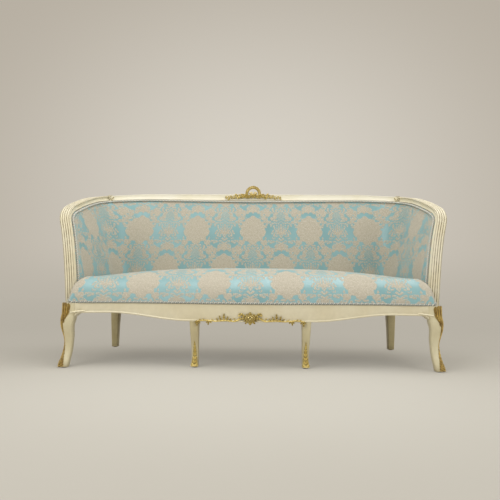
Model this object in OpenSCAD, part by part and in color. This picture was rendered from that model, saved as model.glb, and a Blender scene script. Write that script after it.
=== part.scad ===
// Three-seat cabriole sofa: a tub back in one sweep of moulded show-wood, a tight sprung seat and six legs.
// The origin is on the floor under the middle of the sofa. X runs along the sofa, -Y is the front, Z is up.
// Left and right are those of someone who faces the sofa, so left is at -X.

/* [Overall] */
// Width over the arm rails at their widest
overall_w = 1970; // [1700:10:2300]
// Height of the crest rail's top at its middle
crest_h = 970; // [900:5:1050]
// Height of the arm rail's top just behind the front bend
arm_h = 814; // [780:2:850]
// Distance from the middle of the sofa to the back face of the crest rail
back_reach = 357; // [323:1:403]

/* [Show-wood rail] */
// Width of the moulded rail, from its outer to its inner face
rail_w = 50; // [44:1:60]
// Thickness of the crest rail at its middle
rail_t = 48; // [42:1:54]
// Thickness of the moulded rail beside the ribbons and down the posts
slim_t = 39; // [34:1:46]
// Radius of the back corners in plan, to the middle of the rail
corner_r = 240; // [200:5:280]
// Number of reeds along the arm rails and posts
reeds = 4; // [3:1:6]
// Depth of the quirks between the reeds
reed_d = 3.2; // [1.5:0.1:5]
// Height of the top of each front post, where it turns into the arm
post_top_z = 706; // [660:2:740]
// How far each post's top stands in from half the width
post_top_in = 34; // [24:1:50]
// Forward reach of each post's top
post_top_y = 220; // [197:1:247]
// Forward reach of the place where the arm rail starts its bend
bend_y = 139; // [127:1:157]

/* [Seat frame] */
// Height of the top of the seat rails
frame_h = 302; // [280:2:330]
// Depth of the plain side and back rails
frame_d = 47; // [40:1:60]
// Depth of the front rail at the middle of its apron
apron_d = 83; // [60:1:100]
// How far the posts' feet stand in from half the width
foot_in = 107; // [96:1:125]
// Forward reach of the posts' feet
foot_y = 277; // [267:1:283]
// How far the seat frame's back corners stand in from half the width
back_in = 135; // [115:1:155]
// Distance from the middle of the sofa to the middle of the back rail
back_y = 283; // [263:1:323]
// Thickness of the seat rails
frame_w = 46; // [36:1:56]
// Forward reach of the serpentine front rail, at its mean line
front_reach = 329; // [317:1:342]
// Swing of the serpentine to each side of its mean line
front_bow = 22; // [10:1:30]
// Distance from the middle to the hollow of the serpentine
hollow_x = 530; // [440:5:640]

/* [Legs] */
// How far the front legs' blocks stand in from half the width
leg_in = 95; // [84:1:112]
// Forward reach of the front legs' blocks
leg_out_y = 355; // [347:1:363]
// Side of the front legs' square blocks
knee_w = 58; // [52:1:60]
// Side of the front legs at the ankle
ankle_w = 35; // [30:1:42]
// Side of the front legs at the toe
toe_w = 40; // [36:1:46]
// How far the knee's arris stands out from the block's
knee_out = 3; // [0:0.5:6]
// How far the ankle's arris is drawn in from the block's
ankle_in = 12; // [6:1:16]
// How far the toe's arris stands out from the block's
toe_out = 5; // [2:1:10]
// Distance from the middle of the sofa to each middle leg
middle_x = 268; // [230:2:280]
// Width of a middle leg under the apron
middle_top_w = 45; // [36:1:52]
// Width of a middle leg at its foot
middle_foot_w = 32; // [26:1:38]
// Side of the back legs' blocks
back_leg_w = 52; // [46:1:60]
// Side of the back legs at the floor
back_foot_w = 36; // [30:1:42]
// Thickness of the glides under the feet
glide_t = 4; // [3:0.5:6]
// Diameter of the glides
glide_dia = 24; // [18:1:28]

/* [Upholstery] */
// Height of the seat's crown
seat_h = 487; // [460:1:520]
// How far the seat's front corners stand in from half the width
seat_corner_in = 118; // [108:1:132]
// Height of the seat's front border above the rails
border_h = 128; // [110:2:140]
// How far the front border leans back
border_lean = 78; // [50:2:100]
// Thickness of the cover cloth with its wadding
cloth_t = 3; // [2:0.5:4]
// How far the inside back and arms swell
swell = 26; // [10:1:34]
// How far the outside back and arms swell
outside_swell = 9; // [4:1:14]
// Diameter of the gimp cords
gimp_dia = 8; // [5:0.5:10]
// Clearance between soft pieces
soft_gap = 0.3; // [0.2:0.1:0.6]

/* [Inside the frame] */
// Number of zigzag springs under the seat
springs = 9; // [5:1:11]
// Diameter of the spring wire
wire_dia = 3.6; // [3:0.1:4.5]
// Half width of a zigzag spring
zigzag_w = 24; // [18:1:30]
// Bends in one zigzag spring
zigzag_bends = 16; // [10:2:22]
// Thickness of the burlap and of the dust cover
burlap_t = 1.4; // [1:0.1:2]
// Thickness of the tack rails and uprights
tack_t = 19; // [15:1:20]
// Height of the lower tack rails
tack_d = 42; // [30:1:60]
// Diameter of the seat frame's dowels
dowel_dia = 10; // [8:1:12]
// Length of the dowels
dowel_l = 40; // [32:2:42]
// Leg of the corner blocks, along each rail
block_leg = 74; // [60:2:90]
// Diameter of the corner blocks' screws
screw_dia = 5; // [4:0.5:6]
// Thickness of the webbing straps behind the back
strap_t = 1.5; // [1:0.1:2]
// Width of a webbing strap
strap_w = 50; // [40:5:60]

/* [Carving] */
// Half width of the carving on the crest
crest_carving_w = 116; // [90:2:140]
// Height of the crest carving
crest_carving_h = 66; // [50:1:80]
// Half length of the vine on the apron
vine_x = 258; // [200:2:300]
// Diameter of the vine
vine_dia = 6; // [4:0.5:8]
// Relief of the carved leaves
relief = 7; // [4:0.5:10]

/* [Hidden] */
cream = "#e9e0c4";
gilt = "#b8944a";
cloth = "#a9b9b6";
wadding = "#efe9dc";
beech = "#c9a877";
steel = "#8c8f92";
hessian = "#9a7d52";
cord_blue = "#8fa3a6";

// The path of the moulded rail, on the right half: crest, back corner, arm, bend and post
half_w = overall_w / 2 - rail_w / 2;
post_top_x = overall_w / 2 - post_top_in;
foot_x = overall_w / 2 - foot_in;
back_x = overall_w / 2 - back_in;
leg_out_x = overall_w / 2 - leg_in;
seat_corner_x = overall_w / 2 - seat_corner_in;
rail_back = back_reach - rail_w / 2;
crest_c = crest_h - rail_t / 2;
arm_c = arm_h - rail_t / 2;
crest_run = half_w - corner_r;
corner_run = corner_r * PI / 2;
arm_run = rail_back - corner_r + bend_y;
rail_run = crest_run + corner_run + arm_run;
fall_start_share = 0.5;
fall_power = 1.8;
post_way_share = [0.30, 0.22, 0.93];
post_pull = 125;
foot_pull = 150;
foot_way_share = [0.1, 0.04, 1];
bend_low_pull = 42;
bend_high_pull = 48;
crest_steps = 6;
corner_steps = 9;
arm_steps = 4;
bend_steps = 6;
post_steps = 9;
joint_step = 5;

function fall(u) = pow(max(0, (u - fall_start_share) / (1 - fall_start_share)), fall_power);
function rail_z(run) = crest_c - (crest_c - arm_c) * fall(run / rail_run);
function bezier(a, b, c, d, t) = a * pow(1 - t, 3) + b * 3 * t * pow(1 - t, 2) + c * 3 * t * t * (1 - t)
    + d * pow(t, 3);
arm_end = [half_w, -bend_y, rail_z(rail_run)];
arm_slope = (rail_z(rail_run - 1) - rail_z(rail_run));
post_top = [post_top_x, -post_top_y, post_top_z];
post_foot = [foot_x, -foot_y, frame_h];
crest_path = [for (i = [0:crest_steps]) let (x = crest_run * i / crest_steps) [x, rail_back, rail_z(x)]];
corner_path = [for (i = [1:corner_steps]) let (a = 90 * i / corner_steps)
    [crest_run + corner_r * sin(a), rail_back - corner_r * (1 - cos(a)), rail_z(crest_run + corner_run *
        i / corner_steps)]];
arm_path = [for (i = [1:arm_steps]) let (y = arm_run * i / arm_steps)
    [half_w, rail_back - corner_r - y, rail_z(crest_run + corner_run + y)]];
bend_path = [for (i = [1:bend_steps]) bezier(arm_end, arm_end - [0, bend_high_pull, arm_slope *
    bend_high_pull],
    post_top + post_way_share * bend_low_pull, post_top, i / bend_steps)];
post_path = [for (i = [1:post_steps]) bezier(post_top, post_top - post_way_share * post_pull,
    post_foot + foot_way_share * foot_pull, post_foot, i / post_steps)];
path = concat(crest_path, corner_path, arm_path, bend_path, post_path);
last = len(path) - 1;
corner_start = crest_steps;
corner_end = crest_steps + corner_steps;
arm_last = corner_end + arm_steps;
joint_at = corner_start + joint_step;
arm_joint_at = arm_last - 1;

// Frames along the path: inward is horizontal, up points out of the reeded face
function unit(v) = v / norm(v);
function turn_at(i) = i <= corner_start ? 0 : i >= corner_end ? 90 : 90 * (i - corner_start) / corner_steps;
function level_in(i) = [-sin(turn_at(i)), -cos(turn_at(i)), 0];
function along(i) = i == 0 ? [1, 0, 0] : i == last ? [0, 0, -1] : unit(path[i + 1] - path[i - 1]);
function face_up(i) = unit(cross(level_in(i), along(i)));
function face_in(i) = cross(along(i), face_up(i));
function flip(p) = [-p[0], p[1], p[2]];

// Lofts: rings of equal length joined by triangles, with flat ends, or closed on themselves
function side_faces(rings, n, shut = false) = [for (i = [0:rings - (shut ? 1 : 2)], j = [0:n - 1])
    let (a = i * n + j, b = i * n + (j + 1) % n, c = (i + 1) % rings * n + (j + 1) % n, d = (i +
        1) % rings * n + j)
    each [[a, b, c], [a, c, d]]];
module loft(rings) {
    n = len(rings[0]);
    m = len(rings);
    polyhedron([for (r = rings) each r], concat([[for (j = [n - 1:-1:0]) j]], side_faces(m, n),
        [[for (j = [0:n - 1]) (m - 1) * n + j]]));
}
module mirror_if(left) {
    if (left) mirror([1, 0, 0]) children();
    else children();
}
module both_sides() {
    children();
    mirror([1, 0, 0]) children();
}

// Sections of the moulded rail, as [inward, up] from its middle
reed_points = 4;
reed_margin = 3;
cove_d = 7;
cove_points = 4;
fillet = 3;
under_in = 8;
reed_pitch = (rail_w - 2 * reed_margin) / reeds;
crest_crown = 5;
crest_points = 9;
function cove(from_a, to_a) = [for (k = [1:cove_points - 1]) let (s = k / cove_points)
    [rail_w / 2 - cove_d * sin(180 * s), from_a + (to_a - from_a) * s]];
function underside() = concat([[-rail_w / 2, -rail_t / 2 + fillet], [-rail_w / 2 + fillet, -rail_t / 2],
    [rail_w / 2 - under_in, -rail_t / 2], [rail_w / 2 - fillet, -rail_t / 2 + fillet]],
    cove(-rail_t / 2 + fillet, rail_t / 2 - 2 * reed_d));
function reeded() = concat(underside(), [[rail_w / 2, rail_t / 2 - 2 * reed_d]],
    [for (k = [0:reeds * reed_points]) let (s = k / reed_points)
        [rail_w / 2 - reed_margin - s * reed_pitch, rail_t / 2 - reed_d * (1 - abs(sin(180 * s)))]],
    [[-rail_w / 2, rail_t / 2 - 2 * reed_d]]);
function smooth_top() = concat(underside(), [[rail_w / 2, rail_t / 2 - 2 * reed_d]],
    [for (k = [0:crest_points]) let (s = k / crest_points)
        [rail_w / 2 - reed_margin - s * (rail_w - 2 * reed_margin), rail_t / 2 - crest_crown * pow(2 *
            s - 1, 2)]],
    [[-rail_w / 2, rail_t / 2 - 2 * reed_d]]);
// The rail slims from the crest's middle to the ribbons, keeping its reeded face in line
function slim(i) = 1 - (1 - slim_t / rail_t) * min(1, i / joint_at);
function below(i) = rail_t * slim(i) - rail_t / 2;
function ring(i, section) = [for (p = section)
    path[i] + p[0] * face_in(i) + (rail_t / 2 - (rail_t / 2 - p[1]) * slim(i)) * face_up(i)];

// The seat frame's middle line under each station of the rail
frame_corner_r = 90;
function frame_line(i) = i <= corner_start ? [path[i][0] * (back_x - frame_corner_r) / crest_run, back_y,
    frame_h]
    : i <= corner_end ? [back_x - frame_corner_r * (1 - sin(turn_at(i))),
        back_y - frame_corner_r * (1 - cos(turn_at(i))), frame_h]
    : let (s = (path[i][1] - path[corner_end][1]) / (-foot_y - path[corner_end][1]))
        [back_x + (foot_x - back_x) * s, (back_y - frame_corner_r) * (1 - s) - foot_y * s, frame_h];

// The walls of the tub: straight columns from the seat frame up to the underside of the rail, with a swell
seat_gap = 0.3;
wall_last = last - 1;
swell_reach = 260;
puff_power = 0.7;
function wall_low(i) = frame_line(i) + (rail_t / 2) * (i > corner_end ? [0, max(0,
    (i - arm_last) / (last - arm_last)), 0]
    : [0, 0, 0]) + [0, 0, seat_gap];
function wall_high(i) = path[i] - (below(i) + seat_gap) * face_up(i);
function wall_rise(i) = wall_high(i)[2] - wall_low(i)[2];
function wall_in(i) = level_in(i);
function puff(i, t) = pow(max(0, sin(180 * t)), puff_power) * min(1, wall_rise(i) / swell_reach);
function wall(i, t, w, bulge = 0) = wall_low(i) + (wall_high(i) - wall_low(i)) * t + (w + bulge * puff(i,
    t)) * wall_in(i);
// Any station from -wall_last, on the left, to wall_last, on the right
function any_wall(i, t, w, bulge = 0) = i < 0 ? flip(wall(-i, t, w, bulge)) : wall(i, t, w, bulge);

inside_face = 21;
outside_face = -24;
tack_back = -20;
pad_back = 2;

// A curved slab of the wall between two stations, of rings that run over its back, up and down again
module wall_slab(stations, levels, w_back, w_front, bulge_back = 0, bulge_front = 0) {
    m = len(levels) - 1;
    loft([for (i = stations) concat([for (k = [0:m]) any_wall(i, levels[k], w_back, bulge_back)],
        [for (k = [m:-1:0]) any_wall(i, levels[k], w_front, bulge_front)])]);
}
function steps(from, to) = [for (i = [from:to]) i];
pad_levels_share = [0, 0.14, 0.5, 0.86, 1];
cover_levels_share = [0, 0.14, 0.32, 0.5, 0.68, 0.86, 1];
outside_levels_share = [0, 0.25, 0.7, 1];

// The front rail: a serpentine in plan, with an apron that is deepest between the middle legs
front_end = 16;
front_end_power = 6;
leg_c = [leg_out_x - knee_w / 2, knee_w / 2 - leg_out_y];
rail_end_x = leg_c[0] - knee_w / 2 - seat_gap;
apron_flat_x = 305;
apron_rise_x = 690;
bead_h = 9;
bead_out = 2.5;
front_steps = 28;
frame_low = frame_h - frame_d;
apron_low = frame_h - apron_d;
function smoothstep(s) = let (c = min(1, max(0, s))) c * c * (3 - 2 * c);
function front_y(x) = -front_reach - front_bow * cos(180 * x / hollow_x) - front_end *
    pow(abs(x) / rail_end_x, front_end_power);
bracket_h = 16;
bracket_w = 24;
function apron_z(x) = apron_low - bracket_h * pow(max(0, 1 - (rail_end_x - abs(x)) / bracket_w), 2)
    + (frame_low - apron_low) * smoothstep((abs(x) - apron_flat_x) / (apron_rise_x - apron_flat_x));
function front_section(x) = let (z = apron_z(x), y = front_y(x)) [[x, y + frame_w, z], [x, y + bead_out, z],
    [x, y, z + bead_out], [x, y, z + bead_h - bead_out], [x, y + bead_out, z + bead_h],
    [x, y + bead_out, frame_h - bead_out], [x, y + 2 * bead_out, frame_h], [x, y + frame_w, frame_h]];

module dowel_pair(at, way, clearance = 0) {
    side = cross(way, [0, 0, 1]);
    pitch = frame_d / 4;
    for (s = [-1, 1]) translate(at + s * pitch * [0, 0, 1])
        rotate([0, 90, atan2(way[1], way[0])])
            cylinder(h = dowel_l + clearance, d = dowel_dia + clearance, center = true, $fn = 24);
}
// Where the seat frame's members meet: their middle and the way across the joint
frame_mid_z = frame_low + frame_d / 2;
back_leg_c = [back_x, back_y];
side_front_y = leg_c[1] + knee_w / 2 + seat_gap;
side_back_y = back_leg_c[1] - back_leg_w / 2 - seat_gap;
back_rail_x = back_leg_c[0] - back_leg_w / 2 - seat_gap;
front_joint = [rail_end_x, front_y(rail_end_x) + frame_w / 2 + bead_out, frame_mid_z];
side_front_joint = [leg_c[0], side_front_y, frame_mid_z];
side_back_joint = [back_x, side_back_y, frame_mid_z];
back_joint = [back_rail_x, back_y, frame_mid_z];
dowel_gap = 0.4;
module frame_dowels(clearance = 0) {
    both_sides() {
        dowel_pair(front_joint, [1, 0, 0], clearance);
        dowel_pair(side_front_joint, [0, 1, 0], clearance);
        dowel_pair(side_back_joint, [0, 1, 0], clearance);
        dowel_pair(back_joint, [1, 0, 0], clearance);
    }
}
module seat_dowels() {
    color(beech) frame_dowels();
}
module front_seat_rail() {
    color(cream) difference() {
        loft([for (i = [-front_steps:front_steps]) let (x = rail_end_x * i / front_steps) front_section(x)]);
        both_sides() dowel_pair(front_joint, [1, 0, 0], dowel_gap);
    }
}
module back_seat_rail() {
    color(cream) difference() {
        translate([-back_rail_x, back_y - frame_w / 2, frame_low]) cube([2 * back_rail_x, frame_w, frame_d]);
        both_sides() dowel_pair(back_joint, [1, 0, 0], dowel_gap);
    }
}
module side_seat_rail(left) {
    half = frame_w / 2;
    color(cream) mirror_if(left) difference() {
        translate([0, 0, frame_low]) linear_extrude(frame_d) polygon([
            [leg_c[0] - half, side_front_y], [leg_out_x - bead_out, side_front_y],
            [foot_x + half, -foot_y], [foot_x + half, -foot_y + frame_w],
            [back_x + half, side_back_y], [back_x - half, side_back_y]]);
        dowel_pair(side_front_joint, [0, 1, 0], dowel_gap);
        dowel_pair(side_back_joint, [0, 1, 0], dowel_gap);
    }
}
cross_drop = 3;
module seat_cross_rails() {
    start = front_y(middle_x) + frame_w + seat_gap + bead_out;
    color(beech) both_sides() translate([middle_x - tack_t, start, frame_low + cross_drop])
        cube([2 * tack_t, back_y - frame_w / 2 - start, frame_d - 2 * cross_drop]);
}

// Corner blocks behind the joints, each held by two screws
block_h = 34;
block_nose = 16;
block_z = frame_mid_z - block_h / 2;
function side_inner(y) = leg_c[0] - frame_w / 2 + (back_x - leg_c[0]) *
    (y - side_front_y) / (side_back_y - side_front_y);
front_inner_y = front_y(rail_end_x - block_leg) + frame_w;
front_inner = [side_inner(front_inner_y + block_leg), front_inner_y];
back_inner = [back_x - frame_w / 2, back_y - frame_w / 2];
screw_l = 46;
screw_head_h = 2.6;
screw_seat_share = 0.56;
module corner_block(at, sx, sy) {
    translate([at[0], at[1], block_z]) linear_extrude(block_h) polygon([[sx * seat_gap, sy * seat_gap],
        [sx * block_leg, sy * seat_gap], [sx * block_leg, sy * block_nose], [sx * block_nose, sy * block_leg],
        [sx * seat_gap, sy * block_leg]]);
}
module block_screw(at, sx, sy, clearance = 0) {
    middle = block_leg * screw_seat_share / 2;
    translate([at[0] + sx * middle, at[1] + sy * middle, frame_mid_z])
        rotate([0, 90, atan2(-sy, -sx)]) {
            cylinder(h = screw_l, d = screw_dia + clearance, center = true, $fn = 20);
            translate([0, 0, -screw_l / 2 - screw_head_h]) cylinder(h = screw_head_h, d = 2 * screw_dia,
                $fn = 20);
        }
}
module corner_blocks() {
    color(beech) both_sides() {
        difference() {
            corner_block(front_inner, -1, 1);
            block_screw(front_inner, -1, 1, dowel_gap);
        }
        difference() {
            corner_block(back_inner, -1, -1);
            block_screw(back_inner, -1, -1, dowel_gap);
        }
    }
}
module corner_block_screws() {
    color(steel) both_sides() {
        block_screw(front_inner, -1, 1);
        block_screw(back_inner, -1, -1);
    }
}

// Legs: rings of a soft-cornered square between two opposite corners, interpolated through stations
function catmull(a, b, c, d, t) = 0.5 * ((2 * b) + (c - a) * t + (2 * a - 5 * b + 4 * c - d) * t * t
    + (3 * b - a - 3 * c + d) * t * t * t);
function through(p, s) = let (n = len(p) - 1, i = min(n - 1, floor(s * n)), t = s * n - i)
    catmull(p[max(0, i - 1)], p[i], p[i + 1], p[min(n, i + 2)], t);
even_round_share = [0.17, 0.17, 0.17, 0.17];
cabriole_round_share = [0.25, 0.12, 0.25, 0.45];
leg_corner_points = 3;
function soft_square(low, high, z, round_share) = [for (q = [0:3], k = [0:leg_corner_points])
    let (r = round_share[q] * (high[0] - low[0]), a = 180 + 90 * q + 90 * k / leg_corner_points)
        [(q == 0 || q == 3 ? low[0] + r : high[0] - r) + r * cos(a),
         (q < 2 ? low[1] + r : high[1] - r) + r * sin(a), z]];
// Height, throws of toe, ankle and knee, and the ankle's and knee's parts of the width, as shares
front_leg_shares = [[0, 1, 0, 0, 0, 0], [0.07, 0.6, 0, 0, 0, 0], [0.17, 0, 0.25, 0, 0.5, 0], [0.29, 0, 0.8,
    0, 1, 0],
    [0.44, 0, 1, 0, 1, 0], [0.58, 0, 0.65, 0, 0.72, 0.28], [0.75, 0, 0, 0.4, 0.35, 0.65], [0.88, 0, 0, 1,
        0, 1],
    [1, 0, 0, 0, 0, 1]];
front_leg_stations = concat([for (s = front_leg_shares) [glide_t + (frame_low - glide_t) * s[0],
    toe_out * s[1] - ankle_in * s[2] + knee_out * s[3], toe_w + (ankle_w - toe_w) * s[4] +
        (knee_w - toe_w) * s[5]]],
    [[frame_h, 0, knee_w]]);
front_leg_steps = 16;
module front_leg(left) {
    arris = leg_c + knee_w / 2 * [1, -1];
    rings = [for (k = [front_leg_steps:-1:0]) let (p = through(front_leg_stations, k / front_leg_steps),
        corner = arris + p[1] * [1, -1]) soft_square([corner[0] - p[2], corner[1]], [corner[0], corner[1] +
            p[2]], p[0],
            p[0] > frame_low ? even_round_share / 2 : cabriole_round_share)];
    color(cream) mirror_if(left) difference() {
        loft(rings);
        dowel_pair(front_joint, [1, 0, 0], dowel_gap);
        dowel_pair(side_front_joint, [0, 1, 0], dowel_gap);
    }
}
middle_in = 2;
middle_leg_y = front_y(middle_x) + frame_w / 2;
middle_back = 14;
middle_top_d = frame_w - 2 * bead_out;
// Height, inner edge, the top's part of the width, set-back and the top's part of the depth, as shares
middle_leg_shares = [[0, 1, 0.23, 0.71, 0.44], [0.1, 1, 0.08, 0.86, 0.11], [0.28, 1, 0, 1, -0.11],
    [0.5, 1, 0.23, 0.7, 0.22], [0.75, 0.5, 0.62, 0.2, 0.67], [1, 0, 1, 0, 1]];
// Stations of the middle leg: height, inner edge, width, middle in depth and depth
middle_leg_stations = [for (s = middle_leg_shares) [glide_t + (apron_low - glide_t) * s[0], middle_in * s[1],
    middle_foot_w + (middle_top_w - middle_foot_w) * s[2], middle_back * s[3],
    middle_foot_w + (middle_top_d - middle_foot_w) * s[4]]];
middle_leg_steps = 9;
module middle_leg(left) {
    inner = middle_x - middle_top_w / 2;
    rings = [for (k = [middle_leg_steps:-1:0]) let (p = through(middle_leg_stations, k / middle_leg_steps))
        soft_square([inner + p[1], middle_leg_y + p[3] - p[4] / 2],
            [inner + p[1] + p[2], middle_leg_y + p[3] + p[4] / 2], p[0], even_round_share)];
    color(cream) mirror_if(left) loft(rings);
}
back_splay = 8;
// Height, splay and the block's part of the side, as shares
back_leg_shares = [[0, 1, 0], [0.4, 0.2, 0.38], [0.8, 0, 0.88], [1, 0, 1]];
back_leg_stations = concat([for (s = back_leg_shares) [glide_t + (frame_low - glide_t) * s[0], back_splay *
    s[1],
    back_foot_w + (back_leg_w - back_foot_w) * s[2]]], [[frame_h, 0, back_leg_w]]);
back_leg_steps = 7;
module back_leg(left) {
    rings = [for (k = [back_leg_steps:-1:0]) let (p = through(back_leg_stations, k / back_leg_steps),
        h = p[2] / 2)
        soft_square([back_leg_c[0] - h, back_leg_c[1] + p[1] - h], [back_leg_c[0] + h, back_leg_c[1] +
            p[1] + h], p[0],
            even_round_share)];
    color(cream) mirror_if(left) difference() {
        loft(rings);
        dowel_pair(side_back_joint, [0, 1, 0], dowel_gap);
        dowel_pair(back_joint, [1, 0, 0], dowel_gap);
    }
}
front_foot_c = leg_c + (knee_w / 2 + toe_out - toe_w / 2) * [1, -1];
middle_foot_c = [middle_x - middle_top_w / 2 + middle_in + middle_foot_w / 2,
    middle_leg_y + middle_back * middle_leg_shares[0][3]];
back_foot_c = back_leg_c + [0, back_splay];
module leg_glides() {
    color("#3a3026") both_sides() for (c = [front_foot_c, middle_foot_c, back_foot_c])
        translate([c[0], c[1], 0]) cylinder(h = glide_t, d = glide_dia, $fn = 32);
}

// The show-wood: posts with their bends, arm rails and crest rail, which meet at square cuts
module arm_post(left) {
    color(cream) mirror_if(left) loft([for (i = [arm_joint_at:last]) ring(i, reeded())]);
}
module arm_rail(left) {
    color(cream) mirror_if(left) loft([for (i = [joint_at:arm_joint_at]) ring(i, reeded())]);
}
module crest_rail() {
    right = [for (i = [0:joint_at]) ring(i, smooth_top())];
    left = [for (i = [joint_at:-1:1]) [for (p = right[i]) flip(p)]];
    color(cream) loft(concat(left, right));
}

// Behind the upholstery: tack rails over the seat frame, uprights up to the show-wood, and webbing
tack_low_share = 0.05;
tack_past = 4;
arm_tack_last = arm_last + tack_past;
module tack_rail(stations, rise = tack_d) {
    loft([for (i = stations) let (k = abs(i), low = tack_low_share, high = low + rise / wall_rise(k))
        [any_wall(i, low, tack_back), any_wall(i, high, tack_back), any_wall(i, high, tack_back + tack_t),
         any_wall(i, low, tack_back + tack_t)]]);
}
module back_tack_rail() {
    color(beech) tack_rail(steps(-corner_start - 1, corner_start + 1));
}
module arm_tack_rail(left) {
    color(beech) mirror_if(left) tack_rail(steps(corner_start + 1, arm_tack_last));
}
upright_w = 50;
upright_xs = [for (k = [-1.5:1:1.5]) k * crest_run / 2];
module upright(x) {
    low = [x * (back_x - frame_corner_r) / crest_run, back_y, frame_h];
    high = [x, rail_back, rail_z(abs(x)) - rail_t / 2 - seat_gap];
    t0 = tack_low_share + (tack_d + seat_gap) / (high[2] - low[2]);
    foot = low + (high - low) * t0;
    half = upright_w / 2;
    loft([for (p = [high, foot]) [[p[0] - half, p[1] - tack_back, p[2]], [p[0] - half,
        p[1] - tack_back - tack_t, p[2]],
        [p[0] + half, p[1] - tack_back - tack_t, p[2]], [p[0] + half, p[1] - tack_back, p[2]]]]);
}
module back_uprights() {
    color(beech) for (x = upright_xs) upright(x);
}
strap_sag = 4;
strap_out = 0.5;
strap_levels_share = [0.3, 0.5, 0.7];
strap_half = [for (i = [corner_start:2:arm_last]) i];
strap_stations = concat([for (k = [len(strap_half) - 1:-1:0]) -strap_half[k]], strap_half);
module back_webbing() {
    color(hessian) for (s = strap_levels_share) {
        loft([for (i = strap_stations) let (k = abs(i), half = strap_w / 2 / wall_rise(k),
            w = k > corner_start ? -strap_sag : -strap_out)
            [any_wall(i, s - half, w), any_wall(i, s + half, w), any_wall(i, s + half, w + strap_t),
             any_wall(i, s - half, w + strap_t)]]);
    }
}

// Seat springs: zigzag wire from the front rail to the back rail, each end in a clip
spring_in = 285;
spring_span_x = overall_w - 2 * spring_in;
spring_lap = 14;
spring_z = frame_h + seat_gap;
function spring_x(k) = -spring_span_x / 2 + spring_span_x * k / (springs - 1);
function spring_front(k) = front_y(spring_x(k)) + frame_w - spring_lap;
spring_back = back_y - frame_w / 2 + spring_lap;
bend_round_share = 0.3;
function zigzag(x, from, to, off) = let (pitch = (to - from) / zigzag_bends)
    [for (b = [0:zigzag_bends - 1]) let (s = b % 2 == 0 ? 1 : -1, y = from + pitch * b)
        each [[x + s * (zigzag_w + off * s), y + (pitch - off * s) * bend_round_share],
              [x + s * (zigzag_w + off * s), y + pitch - (pitch - off * s) * bend_round_share]]];
module seat_springs() {
    r = wire_dia / 2;
    color(steel) translate([0, 0, spring_z]) linear_extrude(wire_dia) for (k = [0:springs - 1])
        let (p = zigzag(spring_x(k), spring_front(k), spring_back, r),
            q = zigzag(spring_x(k), spring_front(k), spring_back, -r))
            polygon(concat(p, [for (i = [len(q) - 1:-1:0]) q[i]]));
}
clip_w = 30;
clip_d = 12;
clip_t = 1.6;
module spring_clips() {
    z = spring_z + wire_dia + seat_gap / 2;
    color(steel) for (k = [0:springs - 1], y = [spring_front(k) + clip_d / 4, spring_back - clip_d])
        translate([spring_x(k) + zigzag_w - clip_w / 2, y, z]) cube([clip_w, clip_d, clip_t]);
}

// The seat: rings that rise from the rails, lean back at the front and follow the walls at the sides
ledge = 6;
crown_rings_share = [0.86, 0.68, 0.44, 0.18];
border_rings_share = [0, 0.22, 0.48, 0.74, 1];
crown_power = 4;
crown_y = -37;
crown_c = [0, crown_y];
seat_front_points = 18;
seat_side_points = 7;
seat_corner_points = 3;
seat_corner_r = 22;
seat_back_r = 60;
seat_back_points = 4;
wall_clear = 2.5;
post_clear = 4;
side_roll = 45;
roll_power = 5;
border_curl_share = 0.65;
seat_lean = (half_w - foot_x) / (arm_c - frame_h);
back_lean = (rail_back - back_y) / (crest_c - frame_h);
post_front = foot_y + slim_t - rail_t / 2;
function lifted(z) = (z - frame_h) / border_h;
function roll(z) = side_roll * pow(lifted(z), roll_power);
function seat_puff(z) = swell * pow(sin(180 * (z - frame_h) / (arm_c - frame_h)), puff_power);
function frame_x(y) = foot_x + (back_x - foot_x) * (y + foot_y) / (back_y + foot_y);
function seat_side_x(y, z, inset) = let (inside = frame_x(y) - max(inside_face,
    rail_w / 2) - wall_clear - seat_puff(z)
    + seat_lean * (z - frame_h)) seat_corner_x + (inside - seat_corner_x)
    * smoothstep((y + post_front + post_clear) / (post_front - foot_y + frame_w) + 1) - inset - roll(z);
function seat_back_y(z, inset) = back_y - inside_face - wall_clear - seat_puff(z) + back_lean *
    (z - frame_h) - inset;
function border_back(z) = let (s = lifted(z)) border_lean * ((1 - border_curl_share) * s
    + border_curl_share * s * s * s);
function seat_front_y(x, z, inset) = front_y(x) + ledge + inset + border_back(z);
function seat_half(z, inset) = let (
    corner_x = seat_corner_x - inset - roll(z), r = seat_corner_r, corner_y = seat_front_y(corner_x - r, z,
        inset) + r,
    back = seat_back_y(z, inset), turn_y = back - seat_back_r, turn_x = seat_side_x(turn_y, z,
        inset) - seat_back_r)
    concat([for (k = [0:seat_corner_points]) let (a = 90 * k / seat_corner_points)
            [corner_x - r + r * sin(a), corner_y - r * cos(a)]],
        [for (k = [1:seat_side_points]) let (y = corner_y + (turn_y - corner_y) * k / seat_side_points)
            [seat_side_x(y, z, inset), y]],
        [for (k = [1:seat_corner_points]) let (a = 90 * k / seat_corner_points)
            [turn_x + seat_back_r * cos(a), turn_y + seat_back_r * sin(a)]],
        [for (k = [1:seat_back_points]) [turn_x * (1 - k / seat_back_points), back]]);
function seat_ring(z, inset) = let (half = seat_half(z, inset), edge = half[0][0])
    concat([for (k = [1:seat_front_points - 1]) let (x = -edge + 2 * edge * k / seat_front_points)
            [x, seat_front_y(x, z, inset), z]],
        [for (p = half) [p[0], p[1], z]], [for (k = [len(half) - 2:-1:0]) [-half[k][0], half[k][1], z]]);
function crown_ring(k, inset) = let (top = frame_h + border_h, r = seat_ring(top, inset))
    [for (p = r) [crown_c[0] + (p[0] - crown_c[0]) * k, crown_c[1] + (p[1] - crown_c[1]) * k,
        top - inset + (seat_h - top) * (1 - pow(k, crown_power))]];
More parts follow.
